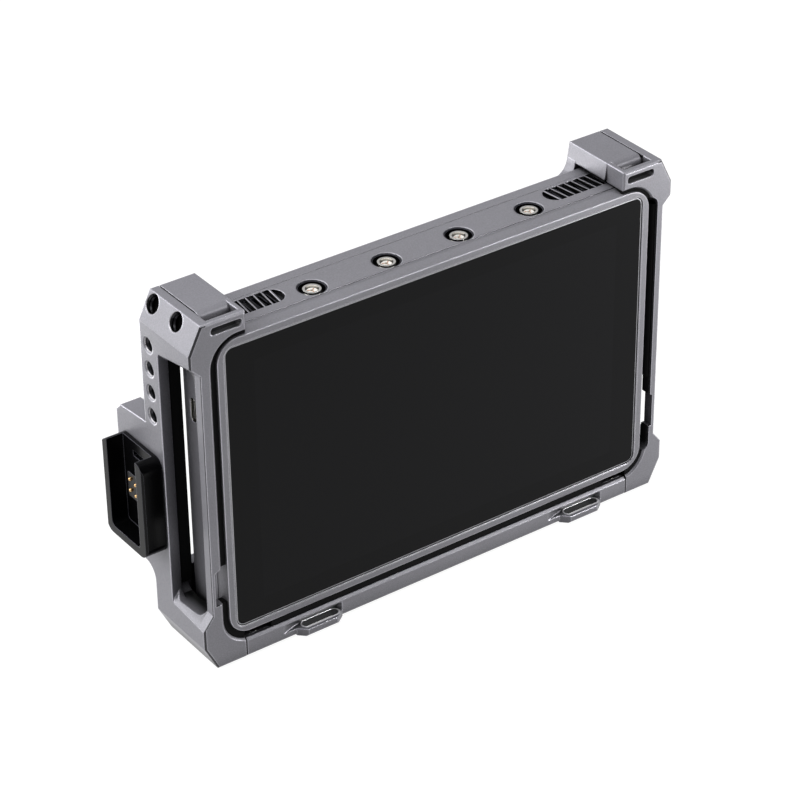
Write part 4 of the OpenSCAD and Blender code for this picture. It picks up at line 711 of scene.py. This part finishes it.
def add_floor():
    """Floor that is white to the camera, and dim to the object so that its shadow stays."""
    mesh = bpy.data.meshes.new("floor")
    half = FLOOR_SIZE / 2
    corners = [(x * half, y * half, FLOOR_Z) for x, y in ((-1, -1), (1, -1), (1, 1), (-1, 1))]
    mesh.from_pydata(corners, [], [(0, 1, 2, 3)])
    floor = bpy.data.objects.new("floor", mesh)
    bpy.context.scene.collection.objects.link(floor)
    material = bpy.data.materials.new("floor_white")
    material.use_nodes = True
    tree = material.node_tree
    tree.nodes.clear()
    paint = tree.nodes.new("ShaderNodeBsdfDiffuse")
    paint.inputs["Color"].default_value = (*FLOOR_COLOR, 1)
    glow = tree.nodes.new("ShaderNodeEmission")
    level = tree.nodes.new("ShaderNodeMath")
    level.operation = "MULTIPLY"
    level.inputs[1].default_value = FLOOR_GLOW
    tree.links.new(background_rays(tree), level.inputs[0])
    tree.links.new(level.outputs[0], glow.inputs["Strength"])
    both = tree.nodes.new("ShaderNodeAddShader")
    tree.links.new(paint.outputs[0], both.inputs[0])
    tree.links.new(glow.outputs[0], both.inputs[1])
    out = tree.nodes.new("ShaderNodeOutputMaterial")
    tree.links.new(both.outputs[0], out.inputs["Surface"])
    mesh.materials.append(material)


def add_world():
    """A dome that fades from its bright side, along WORLD_AXIS, to its dim side."""
    world = bpy.data.worlds.new("studio")
    world.use_nodes = True
    bpy.context.scene.world = world
    tree = world.node_tree
    tree.nodes.clear()
    along = tree.nodes.new("ShaderNodeVectorMath")
    along.operation = "DOT_PRODUCT"
    along.inputs[1].default_value = Vector(WORLD_AXIS).normalized()
    tree.links.new(tree.nodes.new("ShaderNodeTexCoord").outputs["Generated"], along.inputs[0])
    fade = tree.nodes.new("ShaderNodeMapRange")
    fade.interpolation_type = "SMOOTHSTEP"
    fade.inputs["From Min"].default_value, fade.inputs["From Max"].default_value = WORLD_FADE
    tree.links.new(along.outputs["Value"], fade.inputs["Value"])
    tint = tree.nodes.new("ShaderNodeMix")
    tint.data_type = "RGBA"
    tint.inputs[6].default_value = (*WORLD_DIM, 1)
    tint.inputs[7].default_value = (*WORLD_BRIGHT, 1)
    tree.links.new(fade.outputs["Result"], tint.inputs[0])
    sky = tree.nodes.new("ShaderNodeBackground")
    tree.links.new(tint.outputs[2], sky.inputs["Color"])
    out = tree.nodes.new("ShaderNodeOutputWorld")
    tree.links.new(sky.outputs[0], out.inputs["Surface"])


def add_lamp(name, place, target, size, power):
    """Rectangular lamp that faces a point."""
    data = bpy.data.lights.new(name, "AREA")
    data.shape = "RECTANGLE"
    data.size, data.size_y = size
    data.energy = power
    lamp = bpy.data.objects.new(name, data)
    lamp.location = place
    lamp.rotation_euler = (Vector(target) - Vector(place)).to_track_quat("-Z", "Y").to_euler()
    bpy.context.scene.collection.objects.link(lamp)


dress_cad_nodes()
dress_bores()
dress_jacks()
add_glass_edge()
add_bezel_lip()
add_port_edge()
add_strap_rims()
add_right_pad_lip()
add_camera()
add_floor()
add_world()
for lamp in LAMPS:
    add_lamp(*lamp)
# This lamp stands close behind the object, where other views would show it
bpy.data.objects["low_card"].visible_camera = False

bpy.context.scene.view_settings.view_transform = "Standard"
bpy.context.view_layer.update()
